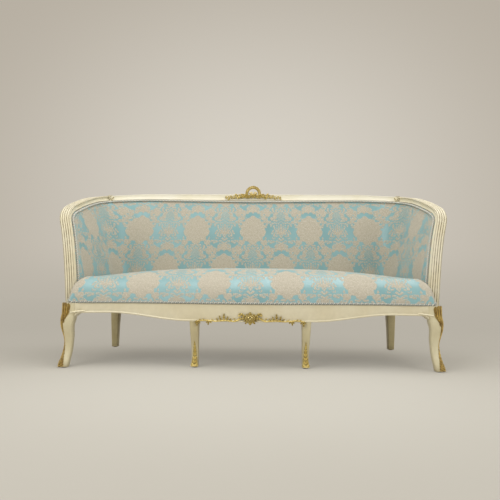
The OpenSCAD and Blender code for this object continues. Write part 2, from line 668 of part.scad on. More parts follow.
function seat_surface(z0, inset) = concat([for (s = border_rings_share)
        let (z = z0 + (frame_h + border_h - z0) * s) [for (p = seat_ring(z, inset)) [p[0], p[1],
            p[2] - inset * s]]],
    [for (k = crown_rings_share) crown_ring(k, inset)]);
pad_z = frame_h + 2 * seat_gap + wire_dia + clip_t + burlap_t + soft_gap;
pad_slack = 1;
pad_inset = cloth_t + soft_gap + pad_slack;
module seat_pad() {
    color(wadding) loft(seat_surface(pad_z, pad_inset));
}
module seat_cover() {
    outer = seat_surface(frame_h + seat_gap, 0);
    inner = seat_surface(frame_h + seat_gap, cloth_t);
    n = len(outer[0]);
    m = len(outer);
    color(cloth) polyhedron(concat([for (r = outer) each r], [for (r = inner) each r]),
        concat(side_faces(m, n), [for (f = side_faces(m, n)) [f[0] + m * n, f[2] + m * n, f[1] + m * n]],
            [for (j = [0:n - 1]) each [[j, m * n + (j + 1) % n, (j + 1) % n], [j, m * n + j, m * n + (j +
                1) % n]]],
            [[for (j = [0:n - 1]) (m - 1) * n + j]], [[for (j = [n - 1:-1:0]) (2 * m - 1) * n + j]]));
}
burlap_in = 14;
module seat_burlap() {
    outline = seat_ring(frame_h + seat_gap, burlap_in);
    color(hessian) translate([0, 0, pad_z - soft_gap - burlap_t]) linear_extrude(burlap_t)
        polygon([for (p = outline) [p[0], p[1]]]);
}
dust_in = 8;
dust_steps = 6;
module dust_cover() {
    back = [for (i = [corner_end:-2:corner_start]) frame_line(i)];
    half = concat([[rail_end_x, side_front_y + dust_in]], [for (p = back) [p[0] - dust_in, p[1] - dust_in]]);
    front = [for (k = [-dust_steps:dust_steps]) let (x = rail_end_x * k / dust_steps) [x, front_y(x) +
        frame_w + soft_gap + bead_out]];
    color("#4a4038") translate([0, 0, frame_low - soft_gap - burlap_t]) linear_extrude(burlap_t)
        polygon(concat(front, half, [for (k = [len(half) - 1:-1:0]) [-half[k][0], half[k][1]]]));
}

// Gimp cords: plain round cords along the edges of the cloth
gimp_sides = 5;
braid_t = 3;
trim_clear = 1.4;
function cord_ring(p, n, a) = [for (k = [0:gimp_sides - 1]) let (t = 360 * k / gimp_sides)
    p + gimp_dia / 2 * (cos(t) * n + sin(t) * a)];
function braid_ring(p, n, a) = [for (q = [[1, 1], [-1, 1], [-1, -1], [1, -1]])
    p + (q[0] * braid_t * n + q[1] * gimp_dia * a) / 2];
gimp_seat = gimp_dia / 2 + seat_gap;
module wall_cord(w, stations, flat = false) {
    loft([for (i = stations) let (k = abs(i), n = face_in(k), a = face_up(k),
        p = path[k] - (below(k) + gimp_seat) * a + w * n)
        [for (q = flat ? braid_ring(p, n, a) : cord_ring(p, n, a)) i < 0 ? flip(q) : q]]);
}
module inside_trim() {
    color(cord_blue) wall_cord(inside_face + cloth_t + trim_clear + gimp_dia / 2, steps(-wall_last, wall_last));
}
trim_lift = 14;
module seat_trim() {
    half = seat_half(frame_h, -gimp_dia / 2);
    z = frame_h + gimp_seat;
    edge = half[0][0];
    turn = [for (k = [0:seat_corner_points]) [half[k][0], half[k][1], z + trim_lift *
        k / seat_corner_points]];
    front = [for (k = [1 - seat_front_points:seat_front_points - 1]) let (x = edge * k / seat_front_points)
        [x, seat_front_y(x, frame_h, -gimp_dia / 2), z]];
    route = concat([for (k = [seat_corner_points:-1:0]) flip(turn[k])], front, turn);
    n = len(route) - 1;
    color(cord_blue) loft([for (k = [0:n]) let (t = unit(route[min(n, k + 1)] - route[max(0, k - 1)]),
        side = unit(cross([0, 0, 1], t))) cord_ring(route[k], -side, [0, 0, 1])]);
}

// The covers and pads of the walls
pad_past = 4;
module inside_pad(stations) {
    wall_slab(stations, pad_levels_share, pad_back, inside_face - cloth_t - soft_gap, pad_slack, swell);
}
module inside_back_pad() {
    color(wadding) inside_pad(steps(-corner_start - pad_past, corner_start + pad_past));
}
module inside_arm_pad(left) {
    color(wadding) mirror_if(left) inside_pad(steps(corner_start + pad_past, wall_last - 1));
}
module inside_cover() {
    color(cloth) wall_slab(steps(-wall_last + 1, wall_last - 1), cover_levels_share, inside_face - cloth_t,
        inside_face,
        swell, swell);
}
module outside_cover() {
    color(cloth) wall_slab(steps(-wall_last + 1, wall_last - 1), outside_levels_share, outside_face,
        outside_face + cloth_t, -outside_swell, -outside_swell);
}
module outside_trim() {
    color(cord_blue) wall_cord(outside_face - trim_clear - braid_t / 2, steps(-wall_last, wall_last), true);
}

// Carving: leaves are lens shapes between two points, cut to the wood that carries them
leaf_fn = 4;
leaf_tip_share = 0.3;
leaf_flat_share = 0.6;
module leaf(from, to, w) {
    hull() {
        translate(from) sphere(d = w * leaf_tip_share, $fn = leaf_fn);
        translate((from + to) / 2) scale([1, leaf_flat_share, 1]) sphere(d = w, $fn = leaf_fn);
        translate(to) sphere(d = w * leaf_tip_share, $fn = leaf_fn);
    }
}
// Start, end and width of each leaf, as shares of the carving's half width and height
crest_leaf_shares = [[0.06, 0.1, 0.4, 0.4, 0.3], [0.16, 0, 0.7, 0.1, 0.26], [0.4, 0.02, 1, 0.02, 0.2]];
// Height, width and length of the fan, and height, radius and thickness of the wreath
fan_shares = [0.12, 0.2, 0.34];
wreath_shares = [0.44, 0.34, 0.2];
module crest_ornament() {
    w = crest_carving_w;
    h = crest_carving_h;
    color(gilt) difference() {
        translate([0, back_reach - rail_w - relief / 3, crest_h - crest_crown - relief]) {
            both_sides() for (s = crest_leaf_shares)
                leaf([s[0] * w, 0, s[1] * h], [s[2] * w, 0, s[3] * h], s[4] * h);
            for (a = [-60:40:60]) leaf([0, 0, fan_shares[0] * h],
                [fan_shares[1] * w * sin(a), 0, (fan_shares[0] + fan_shares[2] * cos(a)) * h],
                    fan_shares[1] * h);
            translate([0, 0, wreath_shares[0] * h]) rotate([90, 0, 0]) rotate_extrude($fn = 16)
                translate([wreath_shares[1] * h, 0]) circle(d = wreath_shares[2] * h, $fn = 5);
        }
        crest_rail();
    }
}
vine_steps = 8;
// Start, end and width of each leaf of the apron, in diameters of the vine
apron_leaf_shares = [[0, 0, 9, -1, 2.4], [0, 1, 5, 2.6, 2.4], [0, -1, 5, -3.6, 2]];
apron_drop_shares = [-3.6, 3, 3.4];
module vine_bead(x) {
    translate([x, front_y(x) - relief / 3, apron_z(x) + bead_h]) sphere(d = vine_dia, $fn = leaf_fn);
}
module apron_ornament() {
    color(gilt) difference() {
        union() {
            for (k = [-vine_steps:vine_steps - 1]) hull() {
                vine_bead(vine_x * k / vine_steps);
                vine_bead(vine_x * (k + 1) / vine_steps);
            }
            translate([0, front_y(0) - relief / 3, apron_low + bead_h + 2 * vine_dia]) {
                both_sides() for (s = apron_leaf_shares)
                    leaf([s[0], 0, s[1]] * vine_dia, [s[2], 0, s[3]] * vine_dia, s[4] * vine_dia);
                leaf([0, 0, apron_drop_shares[0] * vine_dia], [0, 0, apron_drop_shares[1] * vine_dia],
                    apron_drop_shares[2] * vine_dia);
            }
        }
        front_seat_rail();
    }
}
bisections = 12;
function leg_share(z, low = 0, high = 1, n = bisections) = n == 0 ? (low + high) / 2
    : through(front_leg_stations, (low + high) / 2)[0] < z ? leg_share(z, (low + high) / 2, high, n - 1)
    : leg_share(z, low, (low + high) / 2, n - 1);
function arris(z) = leg_c + (knee_w / 2 + through(front_leg_stations, leg_share(z))[1]) * [1, -1];
function sunk_arris(z) = let (a = arris(z)) [a[0] - relief / 2, a[1] + relief / 2, z];
module arris_leaf(low, high, w) {
    leaf(sunk_arris(low), sunk_arris(high), w);
}
knee_top_share = 0.98;
knee_leaf_share = 0.155;
knee_lap_share = 0.04;
knee_w_shares = [3, 2.6, 2.2, 1.8];
module knee_leaves() {
    color(gilt) both_sides() difference() {
        for (k = [0:3]) arris_leaf(frame_low * (knee_top_share - (k + 1) * knee_leaf_share),
            frame_low * (knee_top_share + knee_lap_share - k * knee_leaf_share), knee_w_shares[k] * relief);
        front_leg(false);
    }
}
toe_leaf_share = 0.32;
toe_w_shares = [2.4, 2];
// Places of the side leaves round the toe, with their lean and height
toe_side_shares = [[0.3, 0.12, 0.8], [0.6, 0.12, 0.5]];
module toe_leaves() {
    toe_h = frame_low * toe_leaf_share;
    c = arris(toe_h / 3);
    low = glide_t + relief;
    color(gilt) both_sides() difference() {
        union() {
            arris_leaf(low, toe_h, toe_w_shares[0] * relief);
            for (s = toe_side_shares) let (a = toe_w * s[0], b = toe_w * (s[0] - s[1]), top = toe_h * s[2]) {
                leaf([c[0] - a, c[1] + relief / 3, low], [c[0] - b, c[1] + relief, top], toe_w_shares[1] *
                    relief);
                leaf([c[0] - relief / 3, c[1] + a, low], [c[0] - relief, c[1] + b, top], toe_w_shares[1] *
                    relief);
            }
        }
        front_leg(false);
    }
}
middle_leaf_shares = [[-1, 0.32], [-0.33, 0.46], [0.33, 0.46], [1, 0.32]];
middle_leaf_w_share = 1.6;
module middle_leg_leaves() {
    y = middle_foot_c[1] - middle_foot_w / 2;
    low = glide_t + relief;
    color(gilt) both_sides() difference() {
        for (s = middle_leaf_shares) let (x = middle_foot_c[0] + s[0] * middle_foot_w / 3)
            leaf([x, y, low], [x, y + relief / 2, apron_low * s[1]], middle_leaf_w_share * relief);
        middle_leg(false);
    }
}
ribbon_reach_share = 3;
ribbon_w_share = 1.6;
module rail_ribbons() {
    a = face_up(joint_at) * slim_t / 4;
    t = along(joint_at) * ribbon_reach_share * relief;
    out = path[joint_at] + face_in(joint_at) * (rail_w / 2 + relief / 4) + face_up(joint_at) * relief / 2;
    color(gilt) both_sides() difference() {
        for (s = [-1, 1], v = [0, 1])
            leaf(out - v * t + v * s * a, out + (1 - v) * t - (1 - v) * s * a, ribbon_w_share * relief);
        crest_rail();
        arm_rail(false);
    }
}

front_seat_rail();
back_seat_rail();
side_seat_rail(true);  // side_seat_rail_left
side_seat_rail(false);  // side_seat_rail_right
seat_cross_rails();
seat_dowels();
corner_blocks();
corner_block_screws();
front_leg(true);  // front_leg_left
front_leg(false);  // front_leg_right
middle_leg(true);  // middle_leg_left
middle_leg(false);  // middle_leg_right
back_leg(true);  // back_leg_left
back_leg(false);  // back_leg_right
leg_glides();
arm_post(true);  // arm_post_left
arm_post(false);  // arm_post_right
arm_rail(true);  // arm_rail_left
arm_rail(false);  // arm_rail_right
crest_rail();
back_tack_rail();
arm_tack_rail(true);  // arm_tack_rail_left
arm_tack_rail(false);  // arm_tack_rail_right
back_uprights();
back_webbing();
seat_springs();
spring_clips();
seat_burlap();
seat_pad();
seat_cover();
seat_trim();
inside_back_pad();
inside_arm_pad(true);  // inside_arm_pad_left
inside_arm_pad(false);  // inside_arm_pad_right
inside_cover();
outside_cover();
inside_trim();
outside_trim();
dust_cover();
crest_ornament();
apron_ornament();
knee_leaves();
toe_leaves();
middle_leg_leaves();
rail_ribbons();
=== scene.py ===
import bmesh
import bpy
import math
import numpy as np
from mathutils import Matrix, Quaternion, Vector


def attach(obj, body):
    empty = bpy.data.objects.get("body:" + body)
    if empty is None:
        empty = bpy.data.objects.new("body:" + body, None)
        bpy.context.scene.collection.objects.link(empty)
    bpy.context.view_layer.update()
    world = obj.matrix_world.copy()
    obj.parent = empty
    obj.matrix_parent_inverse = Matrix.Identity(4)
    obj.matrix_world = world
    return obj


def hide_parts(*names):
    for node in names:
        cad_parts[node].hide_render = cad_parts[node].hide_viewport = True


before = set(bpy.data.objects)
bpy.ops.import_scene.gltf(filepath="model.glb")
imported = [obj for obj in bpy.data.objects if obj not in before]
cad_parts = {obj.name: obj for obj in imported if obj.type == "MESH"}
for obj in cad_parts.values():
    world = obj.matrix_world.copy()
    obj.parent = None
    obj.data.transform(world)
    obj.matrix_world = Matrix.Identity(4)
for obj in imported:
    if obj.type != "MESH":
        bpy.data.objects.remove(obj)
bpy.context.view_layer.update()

RNG = np.random.default_rng(7)
MM = 0.001
FLIP = np.array([-1, 1, 1])

# Sizes of the CAD model, in millimetres
OVERALL_W, CREST_H, ARM_H, BACK_REACH = 1970.0, 970.0, 814.0, 357.0
RAIL_W, RAIL_T, SLIM_T, CORNER_R, REEDS, REED_D = 50.0, 48.0, 39.0, 240.0, 4, 3.2
POST_TOP = np.array([951.0, -220.0, 706.0])
BEND_Y = 139.0
FRAME_H, FRAME_D, APRON_D, FRAME_W = 302.0, 47.0, 83.0, 46.0
FOOT_X, FOOT_Y, BACK_X, BACK_Y = 878.0, 277.0, 850.0, 283.0
FRONT_REACH, FRONT_BOW, HOLLOW_X = 329.0, 22.0, 530.0
LEG_OUT_X, LEG_OUT_Y, KNEE_W, ANKLE_W, TOE_W = 890.0, 355.0, 58.0, 35.0, 40.0
KNEE_OUT, ANKLE_IN, TOE_OUT = 3.0, 12.0, 5.0
MIDDLE_X, MIDDLE_TOP_W, MIDDLE_FOOT_W = 268.0, 45.0, 32.0
BACK_LEG_W, BACK_FOOT_W, GLIDE_T, GLIDE_R = 52.0, 36.0, 4.0, 12.0
SEAT_H, SEAT_CORNER_X, BORDER_H, BORDER_LEAN = 487.0, 867.0, 128.0, 78.0
CLOTH_T, SWELL, OUTSIDE_SWELL, GIMP = 3.0, 26.0, 9.0, 8.0
GAP = 0.3

# The path of the moulded rail, by stations: 0 is the middle of the crest and 34 the foot of a post
CORNER_START, CORNER_END, ARM_LAST, BEND_LAST, LAST = 6.0, 15.0, 19.0, 25.0, 34.0
JOINT_AT, ARM_JOINT_AT = 11.0, 18.0
HALF_W = OVERALL_W / 2 - RAIL_W / 2
RAIL_BACK = BACK_REACH - RAIL_W / 2
CREST_C, ARM_C = CREST_H - RAIL_T / 2, ARM_H - RAIL_T / 2
CREST_RUN = HALF_W - CORNER_R
CORNER_RUN = CORNER_R * math.pi / 2
ARM_RUN = RAIL_BACK - CORNER_R + BEND_Y
RAIL_RUN = CREST_RUN + CORNER_RUN + ARM_RUN
POST_WAY, FOOT_WAY = np.array([0.30, 0.22, 0.93]), np.array([0.1, 0.04, 1.0])
POST_FOOT = np.array([FOOT_X, -FOOT_Y, FRAME_H])
FALL_FROM_SHARE, FALL_POWER = 0.5, 1.8
ARM_PULL, POST_PULL, LEAN_PULL, FOOT_PULL = 48.0, 42.0, 125.0, 150.0
NEAR = 0.5


def rail_z(run):
    fall = max(0.0, (run / RAIL_RUN - FALL_FROM_SHARE) / (1 - FALL_FROM_SHARE))
    return CREST_C - (CREST_C - ARM_C) * fall ** FALL_POWER


def bezier(a, b, c, d, t):
    return a * (1 - t) ** 3 + b * 3 * t * (1 - t) ** 2 + c * 3 * t * t * (1 - t) + d * t ** 3


ARM_END = np.array([HALF_W, -BEND_Y, rail_z(RAIL_RUN)])
ARM_SLOPE = rail_z(RAIL_RUN - 1) - rail_z(RAIL_RUN)


def path(i):
    """The middle of the rail at a station."""
    if i <= CORNER_START:
        x = CREST_RUN * i / CORNER_START
        return np.array([x, RAIL_BACK, rail_z(x)])
    if i <= CORNER_END:
        s = (i - CORNER_START) / (CORNER_END - CORNER_START)
        a = math.pi / 2 * s
        x, y = CREST_RUN + CORNER_R * math.sin(a), RAIL_BACK - CORNER_R * (1 - math.cos(a))
        return np.array([x, y, rail_z(CREST_RUN + CORNER_RUN * s)])
    if i <= ARM_LAST:
        y = ARM_RUN * (i - CORNER_END) / (ARM_LAST - CORNER_END)
        return np.array([HALF_W, RAIL_BACK - CORNER_R - y, rail_z(CREST_RUN + CORNER_RUN + y)])
    if i <= BEND_LAST:
        return bezier(ARM_END, ARM_END - ARM_PULL * np.array([0, 1, ARM_SLOPE]),
                      POST_TOP + POST_WAY * POST_PULL, POST_TOP, (i - ARM_LAST) / (BEND_LAST - ARM_LAST))
    return bezier(POST_TOP, POST_TOP - POST_WAY * LEAN_PULL, POST_FOOT + FOOT_WAY * FOOT_PULL, POST_FOOT,
                  (i - BEND_LAST) / (LAST - BEND_LAST))


def at_hand(i, p):
    """A place or direction, moved over to the left for a station under 0."""
    return p * FLIP if i < 0 else p


def unit(v):
    return v / max(np.linalg.norm(v), 1e-9)


def turn(i):
    """How far the rail has turned round its back corner, as an angle."""
    return math.pi / 2 * min(1.0, max(0.0, (i - CORNER_START) / (CORNER_END - CORNER_START)))


def level_in(i):
    return np.array([-math.sin(turn(i)), -math.cos(turn(i)), 0.0])


def along(i):
    """The rail's own direction, which ends straight down at a post's foot."""
    if i < NEAR:
        return unit(path(i + NEAR) - path(NEAR - i) * FLIP)
    if i > LAST - 1:
        s = i - (LAST - 1)
        return unit(unit(path(LAST) - path(LAST - 1)) * (1 - s) + np.array([0, 0, -1.0]) * s)
    return unit(path(min(LAST, i + NEAR)) - path(i - NEAR))


def face_up(i):
    return unit(np.cross(level_in(i), along(i)))


def face_in(i):
    return np.cross(along(i), face_up(i))


# The depth that the arms' rail shows, 6 mm less than the CAD model's
SLIM_SHOWN = SLIM_T - 6


def slim(i):
    """The rail's depth as a share of the crest's, which thins from the crest's middle to the arms."""
    return 1 - (1 - SLIM_SHOWN / RAIL_T) * min(1.0, i / JOINT_AT)


def below(i):
    """How far the rail reaches under its path."""
    return RAIL_T * slim(i) - RAIL_T / 2


FRAME_CORNER_R = 90.0


def frame_line(i):
    """Where the wall at a station stands on the seat frame."""
    if i <= CORNER_START:
        return np.array([path(i)[0] * (BACK_X - FRAME_CORNER_R) / CREST_RUN, BACK_Y, FRAME_H])
    if i <= CORNER_END:
        across, deep = 1 - math.sin(turn(i)), 1 - math.cos(turn(i))
        return np.array([BACK_X - FRAME_CORNER_R * across, BACK_Y - FRAME_CORNER_R * deep, FRAME_H])
    end_y = path(CORNER_END)[1]
    s = (path(i)[1] - end_y) / (-FOOT_Y - end_y)
    y = (BACK_Y - FRAME_CORNER_R) * (1 - s) - FOOT_Y * s
    return np.array([BACK_X + (FOOT_X - BACK_X) * s, y, FRAME_H])


def wall_low(i):
    lift = RAIL_T / 2 * max(0.0, (i - ARM_LAST) / (LAST - ARM_LAST)) if i > CORNER_END else 0.0
    return frame_line(i) + np.array([0, lift, GAP])


def wall_high(i):
    return path(i) - (below(i) + GAP) * face_up(i)


PUFF_POWER, FULL_PUFF_H = 0.7, 260.0


def wall(i, t, w, bulge=0.0):
    """A place in the wall: t up it, w in from its middle, swollen by bulge. The left has stations under 0."""
    k = abs(i)
    low, high = wall_low(k), wall_high(k)
    puff = max(0.0, math.sin(math.pi * t)) ** PUFF_POWER * min(1.0, (high - low)[2] / FULL_PUFF_H)
    return at_hand(i, low + (high - low) * t + (w + bulge * puff) * level_in(k))


def smoothstep(s):
    c = min(1.0, max(0.0, s))
    return c * c * (3 - 2 * c)


# The seat frame and the seat
LEG_C = np.array([LEG_OUT_X - KNEE_W / 2, KNEE_W / 2 - LEG_OUT_Y])
RAIL_END_X = LEG_C[0] - KNEE_W / 2 - GAP
FRAME_LOW, APRON_LOW = FRAME_H - FRAME_D, FRAME_H - APRON_D


FRONT_END, FRONT_END_POWER = 16.0, 6
EAR_D, EAR_W, APRON_RISE_FROM, APRON_RISE_TO = 16.0, 24.0, 305.0, 690.0


def front_y(x):
    """The serpentine face of the front rail."""
    return (-FRONT_REACH - FRONT_BOW * math.cos(math.pi * x / HOLLOW_X)
            - FRONT_END * (abs(x) / RAIL_END_X) ** FRONT_END_POWER)


def apron_z(x):
    """The lower edge of the front rail, which drops to an ear at each leg."""
    ear = EAR_D * max(0.0, 1 - (RAIL_END_X - abs(x)) / EAR_W) ** 2
    rise = smoothstep((abs(x) - APRON_RISE_FROM) / (APRON_RISE_TO - APRON_RISE_FROM))
    return APRON_LOW - ear + (FRAME_LOW - APRON_LOW) * rise


INSIDE_FACE, OUTSIDE_FACE, PAD_BACK = 21.0, -24.0, 2.0
WALL_CLEAR, POST_CLEAR, SIDE_ROLL, LEDGE, CROWN_Y = 2.5, 4.0, 45.0, 6.0, -37.0
SEAT_LEAN = (HALF_W - FOOT_X) / (ARM_C - FRAME_H)
BACK_LEAN = (RAIL_BACK - BACK_Y) / (CREST_C - FRAME_H)
POST_FRONT = FOOT_Y + SLIM_T - RAIL_T / 2
CORNER_FLARE, FLARE_H, ROLL_POWER = 14.0, 70.0, 5


def seat_puff(z):
    """How far the swollen wall pushes the seat in at a height."""
    return SWELL * max(0.0, math.sin(math.pi * (z - FRAME_H) / (ARM_C - FRAME_H))) ** PUFF_POWER


def roll(z):
    return SIDE_ROLL * max(0.0, (z - FRAME_H) / BORDER_H) ** ROLL_POWER


def seat_side_x(y, z):
    frame_x = FOOT_X + (BACK_X - FOOT_X) * (y + FOOT_Y) / (BACK_Y + FOOT_Y)
    inside = frame_x - RAIL_W / 2 - WALL_CLEAR - seat_puff(z) + SEAT_LEAN * (z - FRAME_H)
    s = smoothstep((y + POST_FRONT + POST_CLEAR) / (POST_FRONT - FOOT_Y + FRAME_W) + 1)
    return corner_x(z) + (inside - corner_x(z)) * s - roll(z)


def seat_back_y(z):
    return BACK_Y - INSIDE_FACE - WALL_CLEAR - seat_puff(z) + BACK_LEAN * (z - FRAME_H)


def corner_x(z):
    """The seat's front corners, which flare out to the ends of the cord at their foot."""
    return SEAT_CORNER_X + CORNER_FLARE * max(0.0, 1 - (z - FRAME_H) / FLARE_H) ** 2


def border_back(z):
    """How far the seat's border leans back at a height."""
    s = (z - FRAME_H) / BORDER_H
    return BORDER_LEAN * (0.35 * s + 0.65 * s ** 3)


def seat_front_y(x, z, inset=0.0):
    return front_y(x) + LEDGE + inset + border_back(z)


# Meshes
def add_object(name, data):
    obj = bpy.data.objects.new(name, data)
    bpy.context.scene.collection.objects.link(obj)
    return obj


def face_outward(mesh):
    """Turns every closed shell of a mesh so that its faces look out."""
    shells = bmesh.new()
    shells.from_mesh(mesh)
    bmesh.ops.recalc_face_normals(shells, faces=shells.faces)
    shells.to_mesh(mesh)
    shells.free()
    mesh.update()


def make(name, verts, faces, material, nodes, uvs=None, glaze=None, smooth=True, sharp=None):
    """A piece in millimetres that stands for CAD nodes, which it hides, and takes the material given."""
    mesh = bpy.data.meshes.new(name)
    places = [tuple(v) for v in np.asarray(verts, float) * MM]
    mesh.from_pydata(places, [], [tuple(int(k) for k in f) for f in faces])
    mesh.validate()
    face_outward(mesh)
    if uvs is not None:
        layer = mesh.uv_layers.new(name="cloth")
        index = np.zeros(len(mesh.loops), np.int32)
        mesh.loops.foreach_get("vertex_index", index)
        layer.data.foreach_set("uv", np.asarray(uvs, np.float32)[index].ravel())
    # glaze: a darkening per point that the paints read, partly real glaze and dirt in quirks and hollows,
    # partly painted shade under edges, beads and ribbons and between cord strands
    if glaze is not None:
        layer = mesh.attributes.new("glaze", "FLOAT", "POINT")
        layer.data.foreach_set("value", np.asarray(glaze, np.float32))
    mesh.polygons.foreach_set("use_smooth", np.full(len(mesh.polygons), smooth))
    obj = add_object(name, mesh)
    mesh.materials.append(material)
    if sharp is not None:
        mesh.set_sharp_from_angle(angle=math.radians(sharp))
    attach(obj, "root")
    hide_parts(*nodes)
    return obj


def ring_faces(rows, n, base=0):
    """The faces between rows of n points, each row a shut ring."""
    starts = [base + r * n for r in range(rows - 1)]
    return [(q + c, q + (c + 1) % n, q + n + (c + 1) % n, q + n + c) for q in starts for c in range(n)]


def closed_faces(rows, n, base=0):
    """The same with a cap on the first row and on the last."""
    last = base + (rows - 1) * n
    caps = [tuple(base + k for k in range(n - 1, -1, -1)), tuple(last + k for k in range(n))]
    return ring_faces(rows, n, base) + caps


def run_along(points):
    """The length of a line up to each of its points."""
    return np.concatenate([[0], np.cumsum(np.linalg.norm(np.diff(points, axis=0), axis=1))])


def circle(n):
    """The angles of n points round a circle."""
    return [math.tau * k / n for k in range(n)]


class Build:
    """Meshes that are gathered piece by piece before they become one object."""

    def __init__(self):
        self.verts, self.faces, self.glaze = [], [], []

    def add(self, verts, faces, glaze=None):
        base = len(self.verts)
        self.verts += [np.asarray(v, float) for v in verts]
        self.faces += [tuple(base + k for k in f) for f in faces]
        self.glaze += list(glaze if glaze is not None else [0.0] * len(verts))

    def loft(self, rings, glaze=None):
        self.add([p for r in rings for p in r], closed_faces(len(rings), len(rings[0])),
                 None if glaze is None else [g for r in glaze for g in r])

    def mirrored(self):
        other = Build()
        other.add([v * FLIP for v in self.verts], [tuple(reversed(f)) for f in self.faces], self.glaze)
        return other

    def join(self, other):
        self.add(other.verts, other.faces, other.glaze)

    def done(self, name, material, node, smooth=True, sharp=None):
        return make(name, self.verts, self.faces, material, [node], None, self.glaze, smooth, sharp)

    def done_both(self, prefix, suffix, material, smooth=True, sharp=None):
        """The right-hand piece and its mirror image, for the nodes prefix right and prefix left."""
        for hand, piece in (("right", self), ("left", self.mirrored())):
            piece.done(prefix + hand + suffix, material, prefix + hand, smooth, sharp)


# Materials
def srgb(r, g, b):
    shares = (c / 255 for c in (r, g, b))
    return tuple((c / 12.92 if c <= 0.04045 else ((c + 0.055) / 1.055) ** 2.4) for c in shares) + (1.0,)


class Ex:
    """A number in a material's nodes, so that shapes can be written as sums."""

    def __init__(self, tree, out):
        self.tree, self.out = tree, out

    def op(self, name, *others, clamp=False):
        return calc(self.tree, name, self, *others, clamp=clamp)

    def __add__(self, o): return self.op("ADD", o)
    def __radd__(self, o): return self.op("ADD", o)
    def __sub__(self, o): return self.op("SUBTRACT", o)
    def __rsub__(self, o): return calc(self.tree, "SUBTRACT", o, self)
    def __mul__(self, o): return self.op("MULTIPLY", o)
    def __rmul__(self, o): return self.op("MULTIPLY", o)
    def __truediv__(self, o): return self.op("DIVIDE", o)
    def __abs__(self): return self.op("ABSOLUTE")
    def above(self, o): return self.op("MAXIMUM", o)
    def under(self, o): return self.op("MINIMUM", o)
    def sin(self): return self.op("SINE")
    def cos(self): return self.op("COSINE")
    def root(self): return self.op("SQRT")
    def floor(self): return self.op("FLOOR")
    def power(self, o): return self.op("POWER", o)
    def clamped(self): return self.op("ADD", 0.0, clamp=True)


def calc(tree, name, *values, clamp=False):
    node = tree.nodes.new("ShaderNodeMath")
    node.operation, node.use_clamp = name, clamp
    for socket, value in zip(node.inputs, values):
        if isinstance(value, Ex):
            tree.links.new(value.out, socket)
        else:
            socket.default_value = value
    return Ex(tree, node.outputs[0])


def length(x, y):
    return (x * x + y * y).root()


class Paint:
    """A material with its usual nodes at hand."""

    def __init__(self, name):
        self.mat = bpy.data.materials.new(name)
        self.mat.use_nodes = True
        self.tree = self.mat.node_tree
        self.bsdf = self.tree.nodes["Principled BSDF"]

    def node(self, kind, **settings):
        n = self.tree.nodes.new("ShaderNode" + kind)
        for key, value in settings.items():
            setattr(n, key, value)
        return n

    def link(self, a, b):
        self.tree.links.new(a.out if isinstance(a, Ex) else a, b)

    def set(self, **values):
        for key, value in values.items():
            self.bsdf.inputs[key.replace("_", " ")].default_value = value
        return self

    def object_place(self):
        return self.node("TexCoord").outputs["Object"]

    def place(self, scale):
        mapping = self.node("Mapping")
        mapping.inputs["Scale"].default_value = scale
        self.link(self.object_place(), mapping.inputs["Vector"])
        return mapping.outputs["Vector"]

    def axes(self, vector):
        """A vector's numbers, one by one."""
        n = self.node("SeparateXYZ")
        self.link(vector, n.inputs[0])
        return [Ex(self.tree, o) for o in n.outputs]

    def plane(self, x, y):
        """A vector from two numbers."""
        n = self.node("CombineXYZ")
        self.link(x, n.inputs[0])
        self.link(y, n.inputs[1])
        return n.outputs[0]

    def noise(self, scale, detail=3.0, rough=0.55, stretch=(1, 1, 1), vector=None):
        n = self.node("TexNoise")
        n.inputs["Scale"].default_value = scale
        n.inputs["Detail"].default_value = detail
        n.inputs["Roughness"].default_value = rough
        self.link(vector if vector is not None else self.place(stretch), n.inputs["Vector"])
        return Ex(self.tree, n.outputs["Fac"])

    def attribute(self, name):
        return Ex(self.tree, self.node("Attribute", attribute_name=name).outputs["Fac"])

    def ramp(self, value, low, high, a=0.0, b=1.0):
        n = self.node("MapRange", interpolation_type="SMOOTHSTEP")
        self.link(value, n.inputs["Value"])
        for key, v in (("From Min", low), ("From Max", high), ("To Min", a), ("To Max", b)):
            n.inputs[key].default_value = v
        return Ex(self.tree, n.outputs["Result"])

    def mix(self, factor, a, b):
        n = self.node("Mix", data_type="RGBA")
        for value, socket in ((factor, n.inputs[0]), (a, n.inputs[6]), (b, n.inputs[7])):
            if isinstance(value, (Ex, bpy.types.NodeSocket)):
                self.link(value, socket)
            else:
                socket.default_value = value
        return n.outputs[2]

    def colour(self, value):
        self.link(value, self.bsdf.inputs["Base Color"])

    def rough(self, value):
        self.link(value, self.bsdf.inputs["Roughness"])

    def bump(self, height, distance, strength=1.0):
        n = self.node("Bump")
        n.inputs["Strength"].default_value = strength
        n.inputs["Distance"].default_value = distance
        self.link(height, n.inputs["Height"])
        self.link(n.outputs["Normal"], self.bsdf.inputs["Normal"])


def cream_paint(name, base, aged, glaze_and_shade_colour, grime_and_shade):
    """Aged cream paint: uneven yellowing, brush marks, dark glaze in the quirks, painted shade there and
    under edges and beads, and soft wear.
    """
    p = Paint(name)
    broad = p.noise(5.0, 4.0)
    drag = p.noise(60.0, 3.0, 0.6, (0.15, 0.15, 1.0))
    fine = p.noise(420.0, 2.0)
    tone = p.mix(p.ramp(broad, 0.35, 0.72), base, aged)
    streak = p.mix(p.ramp(drag, 0.45, 0.8, 0.0, 0.35), tone, aged)
    hollow = p.attribute("glaze")
    patch = p.ramp(p.noise(38.0, 4.0), 0.3, 0.7, 0.55, 1.0)
    # painted shade: the per-point darkening mixes in the dark colour, as glaze in the quirks and as shade
    # under edges and beads
    dark = p.mix((hollow * patch * grime_and_shade).clamped(), streak, glaze_and_shade_colour)
    p.colour(p.mix(p.ramp(fine, 0.66, 0.78, 0.0, 0.12), dark, glaze_and_shade_colour))
    p.rough(p.ramp(broad * 0.5 + drag * 0.5, 0.3, 0.7, 0.36, 0.52))
    p.set(Coat_Weight=0.12, Coat_Roughness=0.35)
    p.bump(drag * 0.6 + fine * 0.15 + broad * 0.5, 0.0006, 0.5)
    return p.mat


